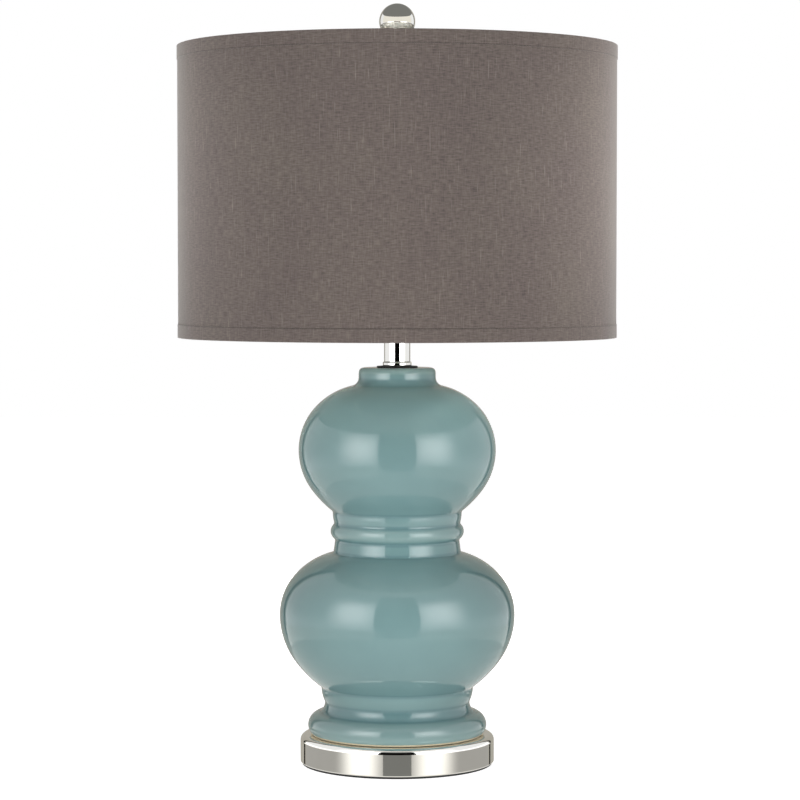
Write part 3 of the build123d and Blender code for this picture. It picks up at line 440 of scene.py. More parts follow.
def grained(name, dark, pale, grain, relief, rough, **sockets):
    """A finish with a grain in two colours: its size and relief in mm, and its range of roughness."""
    made, tree, shader = finish(name, **sockets)
    place = add(tree, "ShaderNodeTexCoord").outputs["Object"]
    noise = add(tree, "ShaderNodeTexNoise", {"Vector": place, "Scale": 1 / (grain * MM), "Detail": 4.0})
    colour = add(
        tree, "ShaderNodeMix",
        {0: noise.outputs["Fac"], 6: linear(dark), 7: linear(pale)}, data_type="RGBA",
    )
    tree.links.new(colour.outputs[2], shader["Base Color"])
    smoothest, roughest = rough
    spread = add(
        tree, "ShaderNodeMapRange", {
            "Value": noise.outputs["Fac"], "From Min": 0.3, "From Max": 0.7,
            "To Min": smoothest, "To Max": roughest,
        },
    )
    tree.links.new(spread.outputs[0], shader["Roughness"])
    bump = add(
        tree, "ShaderNodeBump",
        {"Height": noise.outputs["Fac"], "Distance": relief * MM, "Strength": 0.5},
    )
    tree.links.new(bump.outputs[0], shader["Normal"])
    return made


# Each slot's finish: what the real material is and what its making gives the eye
plated = chrome()
looks = {
    "chrome": plated,
    "chromed_aluminium": plated,
    "chromed_brass": plated,
    "glazed_ceramic": glaze(),
    "taupe_weave": linen(),
    "white_styrene": styrene(),
    # Moulded rubber with a fine skin, dull black
    "black_rubber": grained("black_rubber", "#0B0B0B", "#161616", 0.8, 0.04, (0.6, 0.8)),
    # Sand cast iron, rough and dark
    "cast_iron": grained("cast_iron", "#232221", "#3A3836", 1.5, 0.3, (0.7, 0.95), Metallic=0.6),
    # Moulded nylon, satin black
    "black_nylon": grained("black_nylon", "#101011", "#1B1B1C", 1.0, 0.02, (0.35, 0.5)),
    # Zinc plate on rolled steel, greyish and a little cloudy
    "zinc_steel": grained("zinc_plated_steel", "#9FA3A3", "#C3C5C1", 2.5, 0.02, (0.25, 0.42), Metallic=1.0),
    # Satin nickel plate on drawn wire, warm grey
    "nickel": grained("nickel_plate", "#BDB6AA", "#D6D0C4", 3.0, 0.01, (0.14, 0.26), Metallic=1.0),
    # Turned steel, bright and lightly scuffed
    "bright_screw": grained("bright_steel", "#B5B5B3", "#D0D0CD", 1.2, 0.01, (0.2, 0.35), Metallic=1.0),
    # Pressed fibre board, brown and hairy
    "fibre_board": grained("fibre_board", "#4A3824", "#77603F", 0.9, 0.1, (0.8, 0.95)),
    # Moulded phenolic, brown-black and shiny
    "black_phenolic": grained("black_phenolic", "#120E0B", "#211A15", 2.0, 0.015, (0.15, 0.28)),
    # Pressed brass with a light tarnish
    "brass": grained("pressed_brass", "#A8813D", "#D2AE63", 2.0, 0.01, (0.2, 0.4), Metallic=1.0),
    # Poured black glass
    "black_glass": grained("black_glass", "#08080B", "#131319", 2.0, 0.02, (0.05, 0.15)),
    # Spun aluminium, bright with a soft haze
    "bulb_aluminium": grained("spun_aluminium", "#BFC1C3", "#DCDDDE", 1.5, 0.02, (0.25, 0.4), Metallic=1.0),
    # Glass frosted inside with a white powder
    "frosted_glass": grained(
        "frosted_glass", "#EDEBE4", "#F7F6F1", 9.0, 0.0005, (0.28, 0.32), Transmission_Weight=0.04, IOR=1.5,
    ),
    # Drawn glass, clear
    "clear_glass": grained(
        "clear_glass", "#F2F6F5", "#FFFFFF", 4.0, 0.01, (0.02, 0.05), Transmission_Weight=1.0, IOR=1.5,
    ),
    # Drawn tungsten wire, dark grey
    "tungsten": grained("tungsten_wire", "#4B4B4C", "#6A6A6B", 0.5, 0.01, (0.35, 0.5), Metallic=1.0),
}

# CAD nodes keep their shapes and take the finish of their slot
for node, slot in slots.items():
    solid = frame["nodes"][node]
    solid.data.materials.clear()
    solid.data.materials.append(looks[slot])

# Glazed body: radius and height above its foot, in mm
FOOT_EDGE = (79.5, 0.0)
FOOT_BELLY = (83.4, 8.4)
FOOT_CREASE = (71.6, 20.6)
LOW_GROOVE = (67.5, 30.3)
LOW_BAND = (70.2, 37.4)
LOWER_FOOT = (70.9, 44.3)
LOWER_HAUNCH = (94.8, 67.8)
LOWER_BELLY = (109.7, 112.2)
LOWER_SHOULDER = (97.4, 146.5)
NECK_FOOT = (59.6, 169.6)
NECK_END = (57.8, 182.2)
NECK_BEAD = (62.2, 188.6)
NECK_GROOVE = (58.5, 196.7)
NECK_BAND = (59.9, 202.5)
UPPER_FOOT = (60.1, 208.2)
UPPER_HAUNCH = (79.0, 227.4)
UPPER_BELLY = (91.9, 265.5)
UPPER_SHOULDER = (76.5, 305.2)
COVE_FOOT = (42.5, 325.2)
COLLAR_FOOT = (35.9, 332.7)
COLLAR_EDGE = (35.9, 338.1)
COLLAR_FACE = (31.9, 342.1)
# Inside of the body, which nothing shows, from the collar down to the foot
BODY_INSIDE = [
    (5.35, 342.1), (5.35, 334.1), (28.9, 334.1), (28.9, 318.2), (84.9, 265.5), (50.8, 211.7),
    (50.8, 166.1), (102.7, 112.2), (60.7, 47.8), (60.7, 8.0), (30.0, 8.0), (30.0, 0.0),
]
GLAZE_SPACING = 1.2  # between points along the outline
GLAZE_ROUND = 2.4  # how far the glaze rounds a crease
GLAZE_LINE = 1.5  # unglazed rim at the foot
CREASE_BEND = 0.09  # bend per mm at which the glaze is thinnest or deepest
BEND_SPAN = 2  # points on each side over which a bend is measured


def glazed_body():
    """The body's outline in arcs, softened by the glaze, turned and told where the glaze is thin."""
    foot, _ = bow(FOOT_BELLY, DOWN, FOOT_EDGE)
    foot_top, _ = bow(FOOT_BELLY, UP, FOOT_CREASE)
    low_cove, _ = bow(LOW_GROOVE, DOWN, FOOT_CREASE)
    lower_side, heading = bow(LOWER_BELLY, DOWN, LOWER_HAUNCH)
    lower_under, _ = bow(LOWER_HAUNCH, heading, LOWER_FOOT)
    lower_crown, heading = bow(LOWER_BELLY, UP, LOWER_SHOULDER)
    lower_top, _ = bow(LOWER_SHOULDER, heading, NECK_FOOT)
    upper_side, heading = bow(UPPER_BELLY, DOWN, UPPER_HAUNCH)
    upper_under, _ = bow(UPPER_HAUNCH, heading, UPPER_FOOT)
    upper_crown, heading = bow(UPPER_BELLY, UP, UPPER_SHOULDER)
    upper_top, _ = bow(UPPER_SHOULDER, heading, COVE_FOOT)
    cove, _ = bow(COLLAR_FOOT, DOWN, COVE_FOOT)
    collar, _ = bow(COLLAR_EDGE, UP, COLLAR_FACE)
    outside = [
        *foot[::-1], *foot_top[1:],
        *low_cove[-2::-1], *arch(LOW_GROOVE, LOW_BAND, LOWER_FOOT)[1:],
        *lower_under[-2::-1], *lower_side[-2::-1], *lower_crown[1:], *lower_top[1:], NECK_END,
        *arch(NECK_END, NECK_BEAD, NECK_GROOVE)[1:], *arch(NECK_GROOVE, NECK_BAND, UPPER_FOOT)[1:],
        *upper_under[-2::-1], *upper_side[-2::-1], *upper_crown[1:], *upper_top[1:],
        *cove[-2::-1], *collar,
    ]
    soft = softened(outside, GLAZE_SPACING, GLAZE_ROUND)
    foot_height = heights("ceramic_body")[0]
    outline = [(radius, height + foot_height) for radius, height in soft + BODY_INSIDE]
    mesh = turned("glazed_body", outline)
    thin = [GLAZE_EVEN] * len(outline)
    for i in range(BEND_SPAN, len(soft) - BEND_SPAN):
        x, y = soft[i]
        x_before, y_before = soft[i - BEND_SPAN]
        x_after, y_after = soft[i + BEND_SPAN]
        before = math.atan2(y - y_before, x - x_before)
        after = math.atan2(y_after - y, x_after - x)
        bend = math.remainder(after - before, math.tau) / (BEND_SPAN * GLAZE_SPACING)
        thin[i] = GLAZE_EVEN * (1 + max(-1, min(1, bend / CREASE_BEND)))
    layer = mesh.attributes.new("glaze_thin", "FLOAT", "POINT")
    layer.data.foreach_set("value", [value for value in thin for _ in range(TURN_STEPS)])
    rim = (foot_height + GLAZE_LINE) * MM
    bare = [int(face.center.z < rim) for face in mesh.polygons]
    piece("glazed_body", "lamp_body", mesh, (looks["glazed_ceramic"], bisque()), ["ceramic_body"])
    mesh.polygons.foreach_set("material_index", bare)


glazed_body()

# Chrome base: a cast pan with a rounded shoulder, and the hole for the cord bushing in its back
BASE_WALL = 3.0
PIPE_HOLE = 5.35
SHOULDER_EASE = 5.0
HEM_EASE = 1.0
CORD_HOLE = 4.65
CORD_HEIGHT = 10.0
DRILL_DEPTH = 4 * BASE_WALL
DRILL_STEPS = 48  # facets round the hole


def chrome_base():
    """The base turned from its outline, with a round hole cut through the back wall."""
    bottom, top = heights("base_plate")
    outer = radius_of("base_plate")
    inner = outer - BASE_WALL
    mesh = turned("chrome_base", eased(
        (PIPE_HOLE, top, 0), (outer, top, SHOULDER_EASE), (outer, bottom, HEM_EASE),
        (inner, bottom, 0), (inner, top - BASE_WALL, 0), (PIPE_HOLE, top - BASE_WALL, 0),
    ))
    made = piece("chrome_base", "lamp_body", mesh, looks["chrome"], ["base_plate"])
    bpy.ops.mesh.primitive_cylinder_add(
        vertices=DRILL_STEPS, radius=CORD_HOLE * MM, depth=DRILL_DEPTH * MM,
        location=(0, outer * MM, CORD_HEIGHT * MM), rotation=(math.pi / 2, 0, 0),
    )
    drill = bpy.context.object
    cut = made.modifiers.new("cord_hole", "BOOLEAN")
    cut.operation = "DIFFERENCE"
    cut.solver = "EXACT"
    cut.object = drill
    ready = made.evaluated_get(bpy.context.evaluated_depsgraph_get())
    drilled = bpy.data.meshes.new_from_object(ready)
    made.modifiers.clear()
    made.data = drilled
    bpy.data.objects.remove(drill)
    smooth(drilled)


chrome_base()

# Chrome neck: collar ring and tube
COLLAR_EASE = 1.2
TUBE_WALL = 1.0
TUBE_EASE = 0.3


def chrome_neck():
    """A rounded collar ring and the tube that stands on it."""
    bottom, top = heights("neck_collar")
    outer = radius_of("neck_collar")
    mesh = turned("neck_ring", eased(
        (PIPE_HOLE, bottom, 0), (outer, bottom, COLLAR_EASE),
        (outer, top, COLLAR_EASE), (PIPE_HOLE, top, 0),
    ))
    piece("neck_ring", "lamp_body", mesh, looks["chrome"], ["neck_collar"])
    bottom, top = heights("neck_tube")
    outer = radius_of("neck_tube")
    mesh = turned("neck_sleeve", eased(
        (outer - TUBE_WALL, bottom, 0), (outer, bottom, TUBE_EASE), (outer, top, TUBE_EASE),
        (outer - TUBE_WALL, top, 0),
    ))
    piece("neck_sleeve", "lamp_body", mesh, looks["chrome"], ["neck_tube"])


chrome_neck()

# Finial: a ball on a turned stem
BALL_RADIUS = 16.7
PEG_HOLE = 5.08
PEG_HOLE_TOP = 5.2  # above the ball's flat
STEM_BORE = 3.255
STEM_FLANGE = 9.0
STEM_FLANGE_HEIGHT = 2.5
STEM_WAIST = 5.6
STEM_NECK = 7.5
STEM_NECK_HEIGHT = 5.8  # below the ball's flat
STEM_BORE_TOP = 10.2
PEG_RADIUS = 5.0
PEG_LENGTH = 5.2
STEM_EASE = 0.6
STEM_LIP_EASE = 0.3


def chrome_finial():
    """The ball with the socket for its peg, and the stem with flange, waist and neck."""
    flat, top = heights("finial_ball")
    middle = top - BALL_RADIUS
    flat_radius = math.sqrt(BALL_RADIUS ** 2 - (middle - flat) ** 2)
    ball, _ = bow((0, top), OUT, (flat_radius, flat))
    ball[0] = (0, top)
    mesh = turned("finial_globe", [
        *ball, (PEG_HOLE, flat), (PEG_HOLE, flat + PEG_HOLE_TOP), (0, flat + PEG_HOLE_TOP),
    ])
    piece("finial_globe", "finial", mesh, looks["chrome"], ["finial_ball"])
    bottom, peg_top = heights("finial_base")
    neck_top = peg_top - PEG_LENGTH
    neck_bottom = neck_top - STEM_NECK_HEIGHT
    flange_top = bottom + STEM_FLANGE_HEIGHT
    mesh = turned("finial_stem", eased(
        (STEM_BORE, bottom, 0), (STEM_FLANGE, bottom, STEM_EASE), (STEM_FLANGE, flange_top, STEM_EASE),
        (STEM_WAIST, flange_top + STEM_FLANGE_HEIGHT, STEM_EASE), (STEM_WAIST, neck_bottom, STEM_EASE),
        (STEM_NECK, neck_bottom + STEM_NECK - STEM_WAIST, STEM_EASE), (STEM_NECK, neck_top, STEM_LIP_EASE),
        (PEG_RADIUS, neck_top, 0), (PEG_RADIUS, peg_top, 0), (0, peg_top, 0),
        (0, bottom + STEM_BORE_TOP, 0), (STEM_BORE, bottom + STEM_BORE_TOP, 0),
    ))
    piece("finial_stem", "finial_insert", mesh, looks["chrome"], ["finial_base"])


chrome_finial()

# Shade: cloth drum with a lap seam at the back, liner, and bands folded over both edges
CLOTH_THICKNESS = 0.7
LINER_THICKNESS = 0.5
GLUE_LINE = 0.05
LAP_WIDTH = 14.0
LAP_RISE = 0.35
LAP_SLOPE = 5.0  # length over which the outer end climbs on to the inner one
BAND_HEIGHT = 12.5
BAND_THICKNESS = 0.45
BAND_EASE = 0.45 * BAND_THICKNESS  # rounding of a cut edge
BAND_TUCK = 4.5
RING_ROOM = 2.7  # width of the wire ring inside the fold
CLOTH_ROWS = 8
LAP_STEPS = 3  # facets along the climb


def lap_swell(angle):
    """How far the lap under a band lifts it, by the angle from the back, in mm."""
    away = abs(math.remainder(angle, math.tau)) * cloth_radius
    return LAP_RISE * max(0, min(1, (LAP_WIDTH / 2 + LAP_SLOPE - away) / LAP_SLOPE))


def cloth_drum():
    """One strip of cloth rolled into the drum, its outer end lapped over the inner one at the back."""
    bottom, top = heights("shade_fabric")
    half_lap = LAP_WIDTH / 2 / cloth_radius
    turns = [-half_lap + (math.tau + 2 * half_lap) * i / TURN_STEPS for i in range(TURN_STEPS + 1)]
    turns += [math.tau - half_lap - LAP_SLOPE / cloth_radius * k / LAP_STEPS for k in range(LAP_STEPS + 1)]
    turns.sort()
    lap_start = math.tau - half_lap
    shape = bmesh.new()
    flat = shape.loops.layers.uv.new("flat")
    grid = []
    for turn in turns:
        climb = (turn - lap_start) * cloth_radius / LAP_SLOPE + 1
        lift = LAP_RISE * max(0, min(1, climb))
        column = []
        for thickness in (0, CLOTH_THICKNESS if lift < LAP_RISE else LAP_RISE):
            reach = (cloth_radius + lift - thickness) * MM
            column.append([
                shape.verts.new((
                    reach * math.sin(turn), reach * math.cos(turn),
                    (bottom + (top - bottom) * row / CLOTH_ROWS) * MM,
                ))
                for row in range(CLOTH_ROWS + 1)
            ])
        grid.append(column)
    for i in range(len(turns) - 1):
        for side in (0, 1):
            for row in range(CLOTH_ROWS):
                corners = [(i, row), (i + 1, row), (i + 1, row + 1), (i, row + 1)]
                face = shape.faces.new([grid[k][side][r] for k, r in corners])
                for loop, (k, r) in zip(face.loops, corners):
                    loop[flat].uv = (turns[k] * cloth_radius * MM, (top - bottom) * r / CLOTH_ROWS * MM)
        for row in (0, CLOTH_ROWS):
            here, after = grid[i], grid[i + 1]
            shape.faces.new([here[0][row], after[0][row], after[1][row], here[1][row]])
    for column in (grid[0], grid[-1]):
        for row in range(CLOTH_ROWS):
            shape.faces.new([column[0][row], column[0][row + 1], column[1][row + 1], column[1][row]])
    bmesh.ops.recalc_face_normals(shape, faces=shape.faces)
    mesh = bpy.data.meshes.new("cloth_drum")
    shape.to_mesh(mesh)
    shape.free()
    smooth(mesh)
    return piece("cloth_drum", "shade", mesh, looks["taupe_weave"], ["shade_fabric"])


def edge_band(name, node, end, inward):
    """A band of the same cloth: down the outside, over the edge and tucked in round the wire ring."""
    outer = cloth_radius + GLUE_LINE + BAND_THICKNESS
    inner = outer - BAND_THICKNESS
    tuck = cloth_radius - CLOTH_THICKNESS - LINER_THICKNESS - RING_ROOM - 2 * GLUE_LINE
    tuck_face = tuck - BAND_THICKNESS
    mesh = turned(name, eased(
        (inner, end + inward * BAND_HEIGHT, 0), (outer, end + inward * BAND_HEIGHT, BAND_EASE),
        (outer, end, 2 * BAND_EASE), (tuck_face, end, 2 * BAND_EASE),
        (tuck_face, end + inward * BAND_TUCK, BAND_EASE), (tuck, end + inward * BAND_TUCK, 0),
        (tuck, end + inward * BAND_THICKNESS, 0), (inner, end + inward * BAND_THICKNESS, 0),
    ), lap_swell)
    return piece(name, "shade", mesh, looks["taupe_weave"], [node])


def drum_liner():
    """The white sheet that stiffens the cloth."""
    bottom, top = heights("shade_liner")
    outer = radius_of("shade_liner")
    inner = outer - LINER_THICKNESS
    mesh = turned("drum_liner", [(inner, bottom), (outer, bottom), (outer, top), (inner, top)])
    piece("drum_liner", "shade", mesh, looks["white_styrene"], ["shade_liner"])


cloth_radius = radius_of("shade_fabric")
cloth = cloth_drum()
bands = [
    edge_band("band_top", "trim_top", heights("trim_top")[1], -1),
    edge_band("band_bottom", "trim_bottom", heights("trim_bottom")[0], 1),
]
drum_liner()

# Studio: white floor and background, lamps, two lit screens with a gap between them, and cards for mirrors.
# Sizes are in metres, and turns in degrees from the camera's side of the lamp, to the right
SIDES = {"left": -1, "right": 1}
FLOOR_SIZE = 12.0
FLOOR_NEAR = 0.85  # what the eye sees of the white floor besides its light and shadow, near the lamp
FLOOR_NEAR_REACH = 0.15
FLOOR_FAR = 1.0  # and beyond the lamp's shadow
FLOOR_FAR_REACH = 0.6
FLOOR_BOUNCE = 0.4  # share of that which lights the lamp from below
AMBIENT = 0.08  # light from all round on matt surfaces

# Soft lamps on both sides of the camera, and one behind so that the back isn't dark in other views
SOFT_SIZE = 1.0
SOFT_DISTANCE = 1.6
SOFT_AIM = 0.4
KEY_TURN = 32
KEY_HEIGHT = 0.3
KEY_WATTS = 9.0
BACK_HEIGHT = 0.6
BACK_WATTS = 13.0

# Spot lamps: low ones on to the lower bulb, side ones on to the shade, and one into the shade
SPOT_RADIUS = 0.1
LOW_TURN = 25
LOW_HEIGHT = 0.5
LOW_DISTANCE = 1.5
LOW_AIM = 0.14
LOW_SPREAD = 14
LOW_WATTS = 12.0
SIDE_TURNS = {"left": -112, "right": 103}
SIDE_WATTS = {"left": 62, "right": 105}
SIDE_HEIGHT = 0.9
SIDE_DISTANCE = 1.6
SIDE_AIM = (0.15, 0.55)  # outward from the axis, and up
SIDE_SPREAD = 15
SIDE_BLEND = 0.4
INNER_PLACE = (0, 1.3, 1.6)
INNER_AIM = (0, -0.2, 0.6)
INNER_SPREAD = 17
INNER_WATTS = 75

# Screens, which curve round the lamp on both sides, and the bright patch on each
CARD_STEPS = 32
SCREEN_RADIUS = 0.95
SCREEN_LOW = -0.8
SCREEN_MEET = 1.27  # where the screens meet over the camera
SCREEN_HIGH = 1.9
SCREEN_FROM = 21.4
SCREEN_FROM_LOW = 15.9  # below the floor, where only the base mirrors it
SCREEN_WIDE = -0.1  # height at which the gap between the screens starts to widen
SCREEN_WIDEST = -0.02
SCREEN_TO = 134
SCREEN_DIM = 0.47  # level of the cloth below the floor
SCREEN_DIM_PATCH = 1.1  # and how much brighter it is below the patch
SCREEN_CLEAR = -0.03  # height at which that has given way to the level above the floor
SCREEN_GLARE = 1.5  # level just above the floor
SCREEN_EVEN = 1.0  # and from the height of the upper bulb on
SCREEN_EVEN_HEIGHT = 0.3
PATCH_TURN = 42
PATCH_HEIGHT = 0.43
PATCH_WIDTH = 0.62  # from the middle of the patch to its end
PATCH_TALL = 0.65
PATCH_LEVEL = 4.7

# Other cards: black flags behind the screens, white table, dark room behind the camera, walls and ceiling
FLAG_FROM = 137
FLAG_TO = 142
TABLE_LEVEL = 1.5
TABLE_HEIGHT = -0.03
TABLE_INNER = 0.45
TABLE_OUTER = 0.94
TABLE_TO = 136
PALE_TABLE_HEIGHT = -0.2
CARD_HOLE = 0.01  # radius of the hole in the middle of a round card
ROOM_RADIUS = 2.6
ROOM_LOW = -1.8
ROOM_HORIZON = -0.2
ROOM_HALF_TURN = 40
BACK_WALL_FROM = 120
BACK_WALL_TO = 240
CEILING = 1.95
CEILING_REACH = 3.9
# Ivory card round the finial, with a grey one over it
FINIAL_CARD_RADIUS = 0.4
FINIAL_CARD_LOW = 0.66
FINIAL_CARD_HIGH = 0.88
FINIAL_CARD_TO = 100


def around(degrees, height, distance):
    """A point round the lamp; 0 degrees is the camera's side and +90 the right."""
    turn = math.radians(degrees)
    return (distance * math.sin(turn), -distance * math.cos(turn), height)


def lamp(name, kind, place, aim, **settings):
    """A lamp aimed at a point. It lights matt surfaces and doesn't show in mirrors."""
    light = bpy.data.lights.new(name, kind)
    for key, value in settings.items():
        setattr(light, key, value)
    made = bpy.data.objects.new(name, light)
    made.location = place
    made.rotation_euler = (mathutils.Vector(aim) - made.location).to_track_quat("-Z", "Y").to_euler()
    made.visible_camera = False
    made.visible_glossy = False
    bpy.context.scene.collection.objects.link(made)


def glow(name, colour, strength):
    """A card's own even light."""
    made = bpy.data.materials.new(name)
    made.use_nodes = True
    tree = made.node_tree
    tree.nodes.clear()
    light = add(tree, "ShaderNodeEmission", {"Color": linear(colour), "Strength": strength})
    add(tree, "ShaderNodeOutputMaterial", {"Surface": light.outputs[0]})
    return made


def card(name, look, rows):
    """A studio card from rows of corners. It shows in mirrors only."""
    columns = len(rows[0])
    mesh = bpy.data.meshes.new(name)
    mesh.from_pydata([corner for row in rows for corner in row], [], [
        (k, k + 1, k + columns + 1, k + columns)
        for row in range(len(rows) - 1) for k in range(row * columns, (row + 1) * columns - 1)
    ])
    mesh.materials.append(look)
    made = bpy.data.objects.new(name, mesh)
    bpy.context.scene.collection.objects.link(made)
    made.visible_camera = False
    made.visible_shadow = False
    made.visible_diffuse = False


def curved(*rows):
    """Rows of corners round the lamp, each from its distance, height, first and last degrees."""
    return [
        [around(first + (last - first) * i / CARD_STEPS, height, distance) for i in range(CARD_STEPS + 1)]
        for distance, height, first, last in rows
    ]


def upright(distance, low, high, first, last):
    """A card that stands round the lamp."""
    return curved((distance, low, first, last), (distance, high, first, last))


def level(height, inner, outer, first=-180, last=180):
    """A card that lies flat round the lamp."""
    return curved((inner, height, first, last), (outer, height, first, last))


def screen_look(side):
    """Diffusion cloth with a lamp behind it: a bright patch, and a dim, warm cloth below the floor."""
    made = bpy.data.materials.new(f"diffusion_cloth_{side}")
    made.use_nodes = True
    tree = made.node_tree
    tree.nodes.clear()
    place = add(tree, "ShaderNodeTexCoord").outputs["Object"]
    middle = around(side * PATCH_TURN, PATCH_HEIGHT, SCREEN_RADIUS)
    fades = []
    for mask, reach in (((1, 1, 0), PATCH_WIDTH), ((0, 0, 1), PATCH_TALL)):
        flat = add(tree, "ShaderNodeVectorMath", {0: place, 1: mask}, operation="MULTIPLY")
        centre = [c * m for c, m in zip(middle, mask)]
        away = add(tree, "ShaderNodeVectorMath", {0: flat.outputs[0], 1: centre}, operation="DISTANCE")
        fades.append(add(
            tree, "ShaderNodeMapRange",
            {"Value": away.outputs["Value"], "From Max": reach, "To Min": 1.0, "To Max": 0.0},
            interpolation_type="SMOOTHERSTEP",
        ).outputs[0])
    patch = add(tree, "ShaderNodeMath", {0: fades[0], 1: fades[1]}, operation="MULTIPLY")
    height = add(tree, "ShaderNodeSeparateXYZ", {0: place}).outputs["Z"]
    climb = add(
        tree, "ShaderNodeMapRange",
        {"Value": height, "From Min": SCREEN_WIDE, "From Max": SCREEN_CLEAR},
        interpolation_type="SMOOTHSTEP",
    )
    fall = add(
        tree, "ShaderNodeMapRange",
        {"Value": height, "From Max": SCREEN_EVEN_HEIGHT, "To Min": SCREEN_GLARE, "To Max": SCREEN_EVEN},
        interpolation_type="SMOOTHSTEP",
    )
    dim = add(
        tree, "ShaderNodeMath",
        {0: fades[0], 1: SCREEN_DIM_PATCH, 2: SCREEN_DIM}, operation="MULTIPLY_ADD",
    )
    cloth_level = add(tree, "ShaderNodeMix", {0: climb.outputs[0], 2: dim.outputs[0], 3: fall.outputs[0]})
    bright = add(
        tree, "ShaderNodeMath",
        {0: patch.outputs[0], 1: PATCH_LEVEL, 2: cloth_level.outputs[0]}, operation="MULTIPLY_ADD",
    )
    colour = add(
        tree, "ShaderNodeMix",
        {0: climb.outputs[0], 6: linear("#F8F5EE"), 7: linear("#FFFFFF")}, data_type="RGBA",
    )
    light = add(tree, "ShaderNodeEmission", {"Color": colour.outputs[2], "Strength": bright.outputs[0]})
    add(tree, "ShaderNodeOutputMaterial", {"Surface": light.outputs[0]})
    return made


def floor():
    """A white floor that takes light and shadow near the lamp and is plain white beyond."""
    half = FLOOR_SIZE / 2
    corners = [(-half, -half, 0), (half, -half, 0), (half, half, 0), (-half, half, 0)]
    mesh = bpy.data.meshes.new("floor")
    mesh.from_pydata(corners, [], [(0, 1, 2, 3)])
    made = bpy.data.objects.new("floor", mesh)
    bpy.context.scene.collection.objects.link(made)
    made.visible_glossy = False
    paint = bpy.data.materials.new("white_floor")
    paint.use_nodes = True
    tree = paint.node_tree
    tree.nodes.clear()
    path = add(tree, "ShaderNodeLightPath")
    place = add(tree, "ShaderNodeTexCoord").outputs["Object"]
    away = add(tree, "ShaderNodeVectorMath", {0: place}, operation="LENGTH")
    whiteness = add(tree, "ShaderNodeMapRange", {
        "Value": away.outputs["Value"], "From Min": FLOOR_NEAR_REACH, "From Max": FLOOR_FAR_REACH,
        "To Min": FLOOR_NEAR, "To Max": FLOOR_FAR,
    })
    share = add(tree, "ShaderNodeMapRange", {"Value": path.outputs["Is Camera Ray"], "To Min": FLOOR_BOUNCE})
    own = add(tree, "ShaderNodeMath", {0: share.outputs[0], 1: whiteness.outputs[0]}, operation="MULTIPLY")
    matt = add(tree, "ShaderNodeBsdfDiffuse", {"Color": linear("#DADADA")})
    white = add(tree, "ShaderNodeEmission", {"Strength": own.outputs[0]})
    both = add(tree, "ShaderNodeAddShader", {0: matt.outputs[0], 1: white.outputs[0]})
    add(tree, "ShaderNodeOutputMaterial", {"Surface": both.outputs[0]})
    mesh.materials.append(paint)


def lamps():
    """Soft lamps in front and behind, and spots on the lower bulb, on the shade and in it."""
    aim = (0, 0, SOFT_AIM)
    for name, side in SIDES.items():
        lamp(
            f"key_{name}", "AREA", around(side * KEY_TURN, KEY_HEIGHT, SOFT_DISTANCE), aim,
            energy=KEY_WATTS, size=SOFT_SIZE,
        )
        lamp(
            f"low_{name}", "SPOT", around(side * LOW_TURN, LOW_HEIGHT, LOW_DISTANCE), (0, 0, LOW_AIM),
            energy=LOW_WATTS, spot_size=math.radians(LOW_SPREAD), spot_blend=1.0,
            shadow_soft_size=SPOT_RADIUS,
        )
        outward, upward = SIDE_AIM
        lamp(
            f"side_{name}", "SPOT", around(SIDE_TURNS[name], SIDE_HEIGHT, SIDE_DISTANCE),
            (side * outward, 0, upward),
            energy=SIDE_WATTS[name], spot_size=math.radians(SIDE_SPREAD), spot_blend=SIDE_BLEND,
            shadow_soft_size=SPOT_RADIUS,
        )
    lamp("back", "AREA", around(180, BACK_HEIGHT, SOFT_DISTANCE), aim, energy=BACK_WATTS, size=SOFT_SIZE)
    # The finial mirrors the liner that this one lights
    lamp(
        "shade_spot", "SPOT", INNER_PLACE, INNER_AIM,
        energy=INNER_WATTS, spot_size=math.radians(INNER_SPREAD), shadow_soft_size=SPOT_RADIUS,
    )


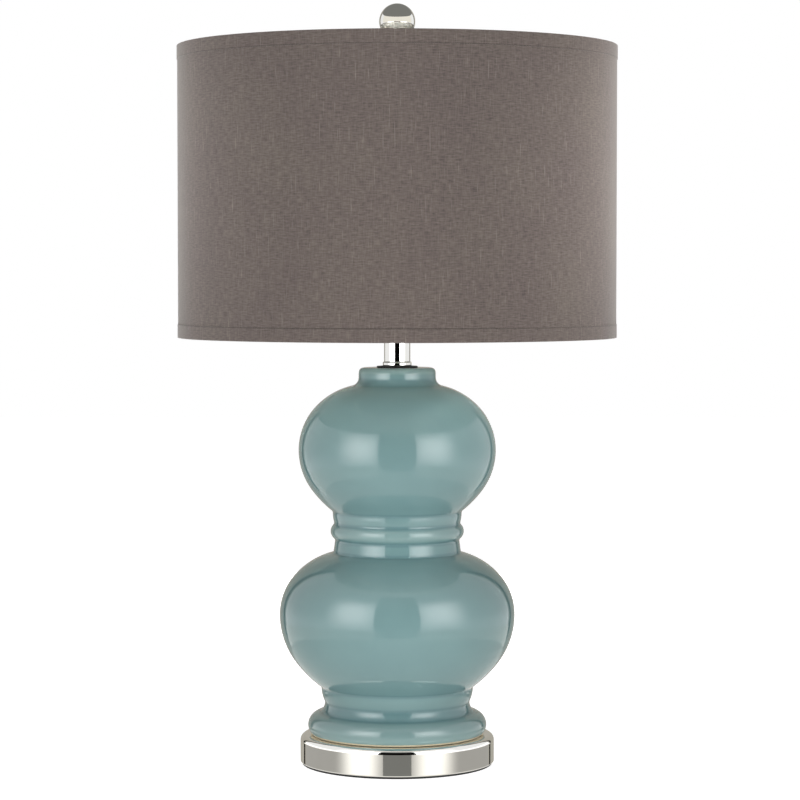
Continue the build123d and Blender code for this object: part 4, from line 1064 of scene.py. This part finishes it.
def cards():
    """The screens on both sides, and what stands between, behind, above and below them."""
    black = glow("black_flag", "#050505", 1.0)
    grey = glow("grey_studio", "#81817D", 1.0)
    beige = glow("beige_wall", "#B4B0A6", 1.0)
    ivory = glow("ivory_card", "#FFFAEE", 1.0)
    white = glow("white_table", "#F4F2EC", TABLE_LEVEL)
    pale = glow("pale_table", "#F4F2EC", 1.0)
    for name, side in SIDES.items():
        end = side * SCREEN_TO
        card(f"screen_{name}", screen_look(side), curved(
            (SCREEN_RADIUS, SCREEN_LOW, side * SCREEN_FROM_LOW, end),
            (SCREEN_RADIUS, SCREEN_WIDE, side * SCREEN_FROM_LOW, end),
            (SCREEN_RADIUS, SCREEN_WIDEST, side * SCREEN_FROM, end),
            (SCREEN_RADIUS, SCREEN_MEET, side * SCREEN_FROM, end),
            (SCREEN_RADIUS, SCREEN_MEET, 0, end),
            (SCREEN_RADIUS, SCREEN_HIGH, 0, end),
        ))
        card(
            f"flag_{name}", black,
            upright(SCREEN_RADIUS, SCREEN_LOW, SCREEN_HIGH, side * FLAG_FROM, side * FLAG_TO),
        )
        card(
            f"table_{name}", white,
            level(TABLE_HEIGHT, TABLE_INNER, TABLE_OUTER, side * SCREEN_FROM, side * TABLE_TO),
        )
    card("dark_room", black, upright(ROOM_RADIUS, ROOM_HORIZON, CEILING, -ROOM_HALF_TURN, ROOM_HALF_TURN))
    card("studio_floor", grey, upright(ROOM_RADIUS, ROOM_LOW, ROOM_HORIZON, -ROOM_HALF_TURN, ROOM_HALF_TURN))
    card("table_top", pale, level(PALE_TABLE_HEIGHT, CARD_HOLE, TABLE_OUTER))
    card("back_wall", beige, upright(ROOM_RADIUS, ROOM_LOW, CEILING, BACK_WALL_FROM, BACK_WALL_TO))
    ends = (-CEILING_REACH, CEILING_REACH)
    card("ceiling", grey, [[(x, y, CEILING) for x in ends] for y in ends])
    card("finial_cap", grey, level(FINIAL_CARD_HIGH, CARD_HOLE, FINIAL_CARD_RADIUS))
    card("finial_card", ivory, upright(
        FINIAL_CARD_RADIUS, FINIAL_CARD_LOW, FINIAL_CARD_HIGH, -FINIAL_CARD_TO, FINIAL_CARD_TO,
    ))


def background():
    """White to the eye and in mirrors, and a plain level of light on everything else."""
    world = bpy.data.worlds.new("white_room")
    world.use_nodes = True
    bpy.context.scene.world = world
    tree = world.node_tree
    path = add(tree, "ShaderNodeLightPath").outputs
    direct = add(
        tree, "ShaderNodeMath",
        {0: path["Is Camera Ray"], 1: path["Is Glossy Ray"]}, operation="MAXIMUM",
    )
    seen = add(
        tree, "ShaderNodeMath",
        {0: direct.outputs[0], 1: path["Is Transmission Ray"]}, operation="MAXIMUM",
    )
    strength = add(tree, "ShaderNodeMapRange", {"Value": seen.outputs[0], "To Min": AMBIENT, "To Max": 1.0})
    sky = tree.nodes["Background"]
    sky.inputs["Color"].default_value = linear("#FFFFFF")
    tree.links.new(strength.outputs[0], sky.inputs["Strength"])


floor()
lamps()
cards()
background()

# Camera in front, a little above the shade's lower edge, looking slightly down; its place is in mm
CAMERA_PLACE = (2.6, -2600.0, 462.7)
CAMERA_PITCH = 2.709
CAMERA_LENS = 125.76
CAMERA_SENSOR = 36
lens = bpy.data.cameras.new("camera")
lens.lens = CAMERA_LENS
lens.sensor_width = CAMERA_SENSOR
camera = bpy.data.objects.new("camera", lens)
camera.location = [c * MM for c in CAMERA_PLACE]
camera.rotation_euler = (math.radians(90 - CAMERA_PITCH), 0, 0)
bpy.context.scene.collection.objects.link(camera)
bpy.context.scene.camera = camera
bpy.context.scene.view_settings.view_transform = "Standard"
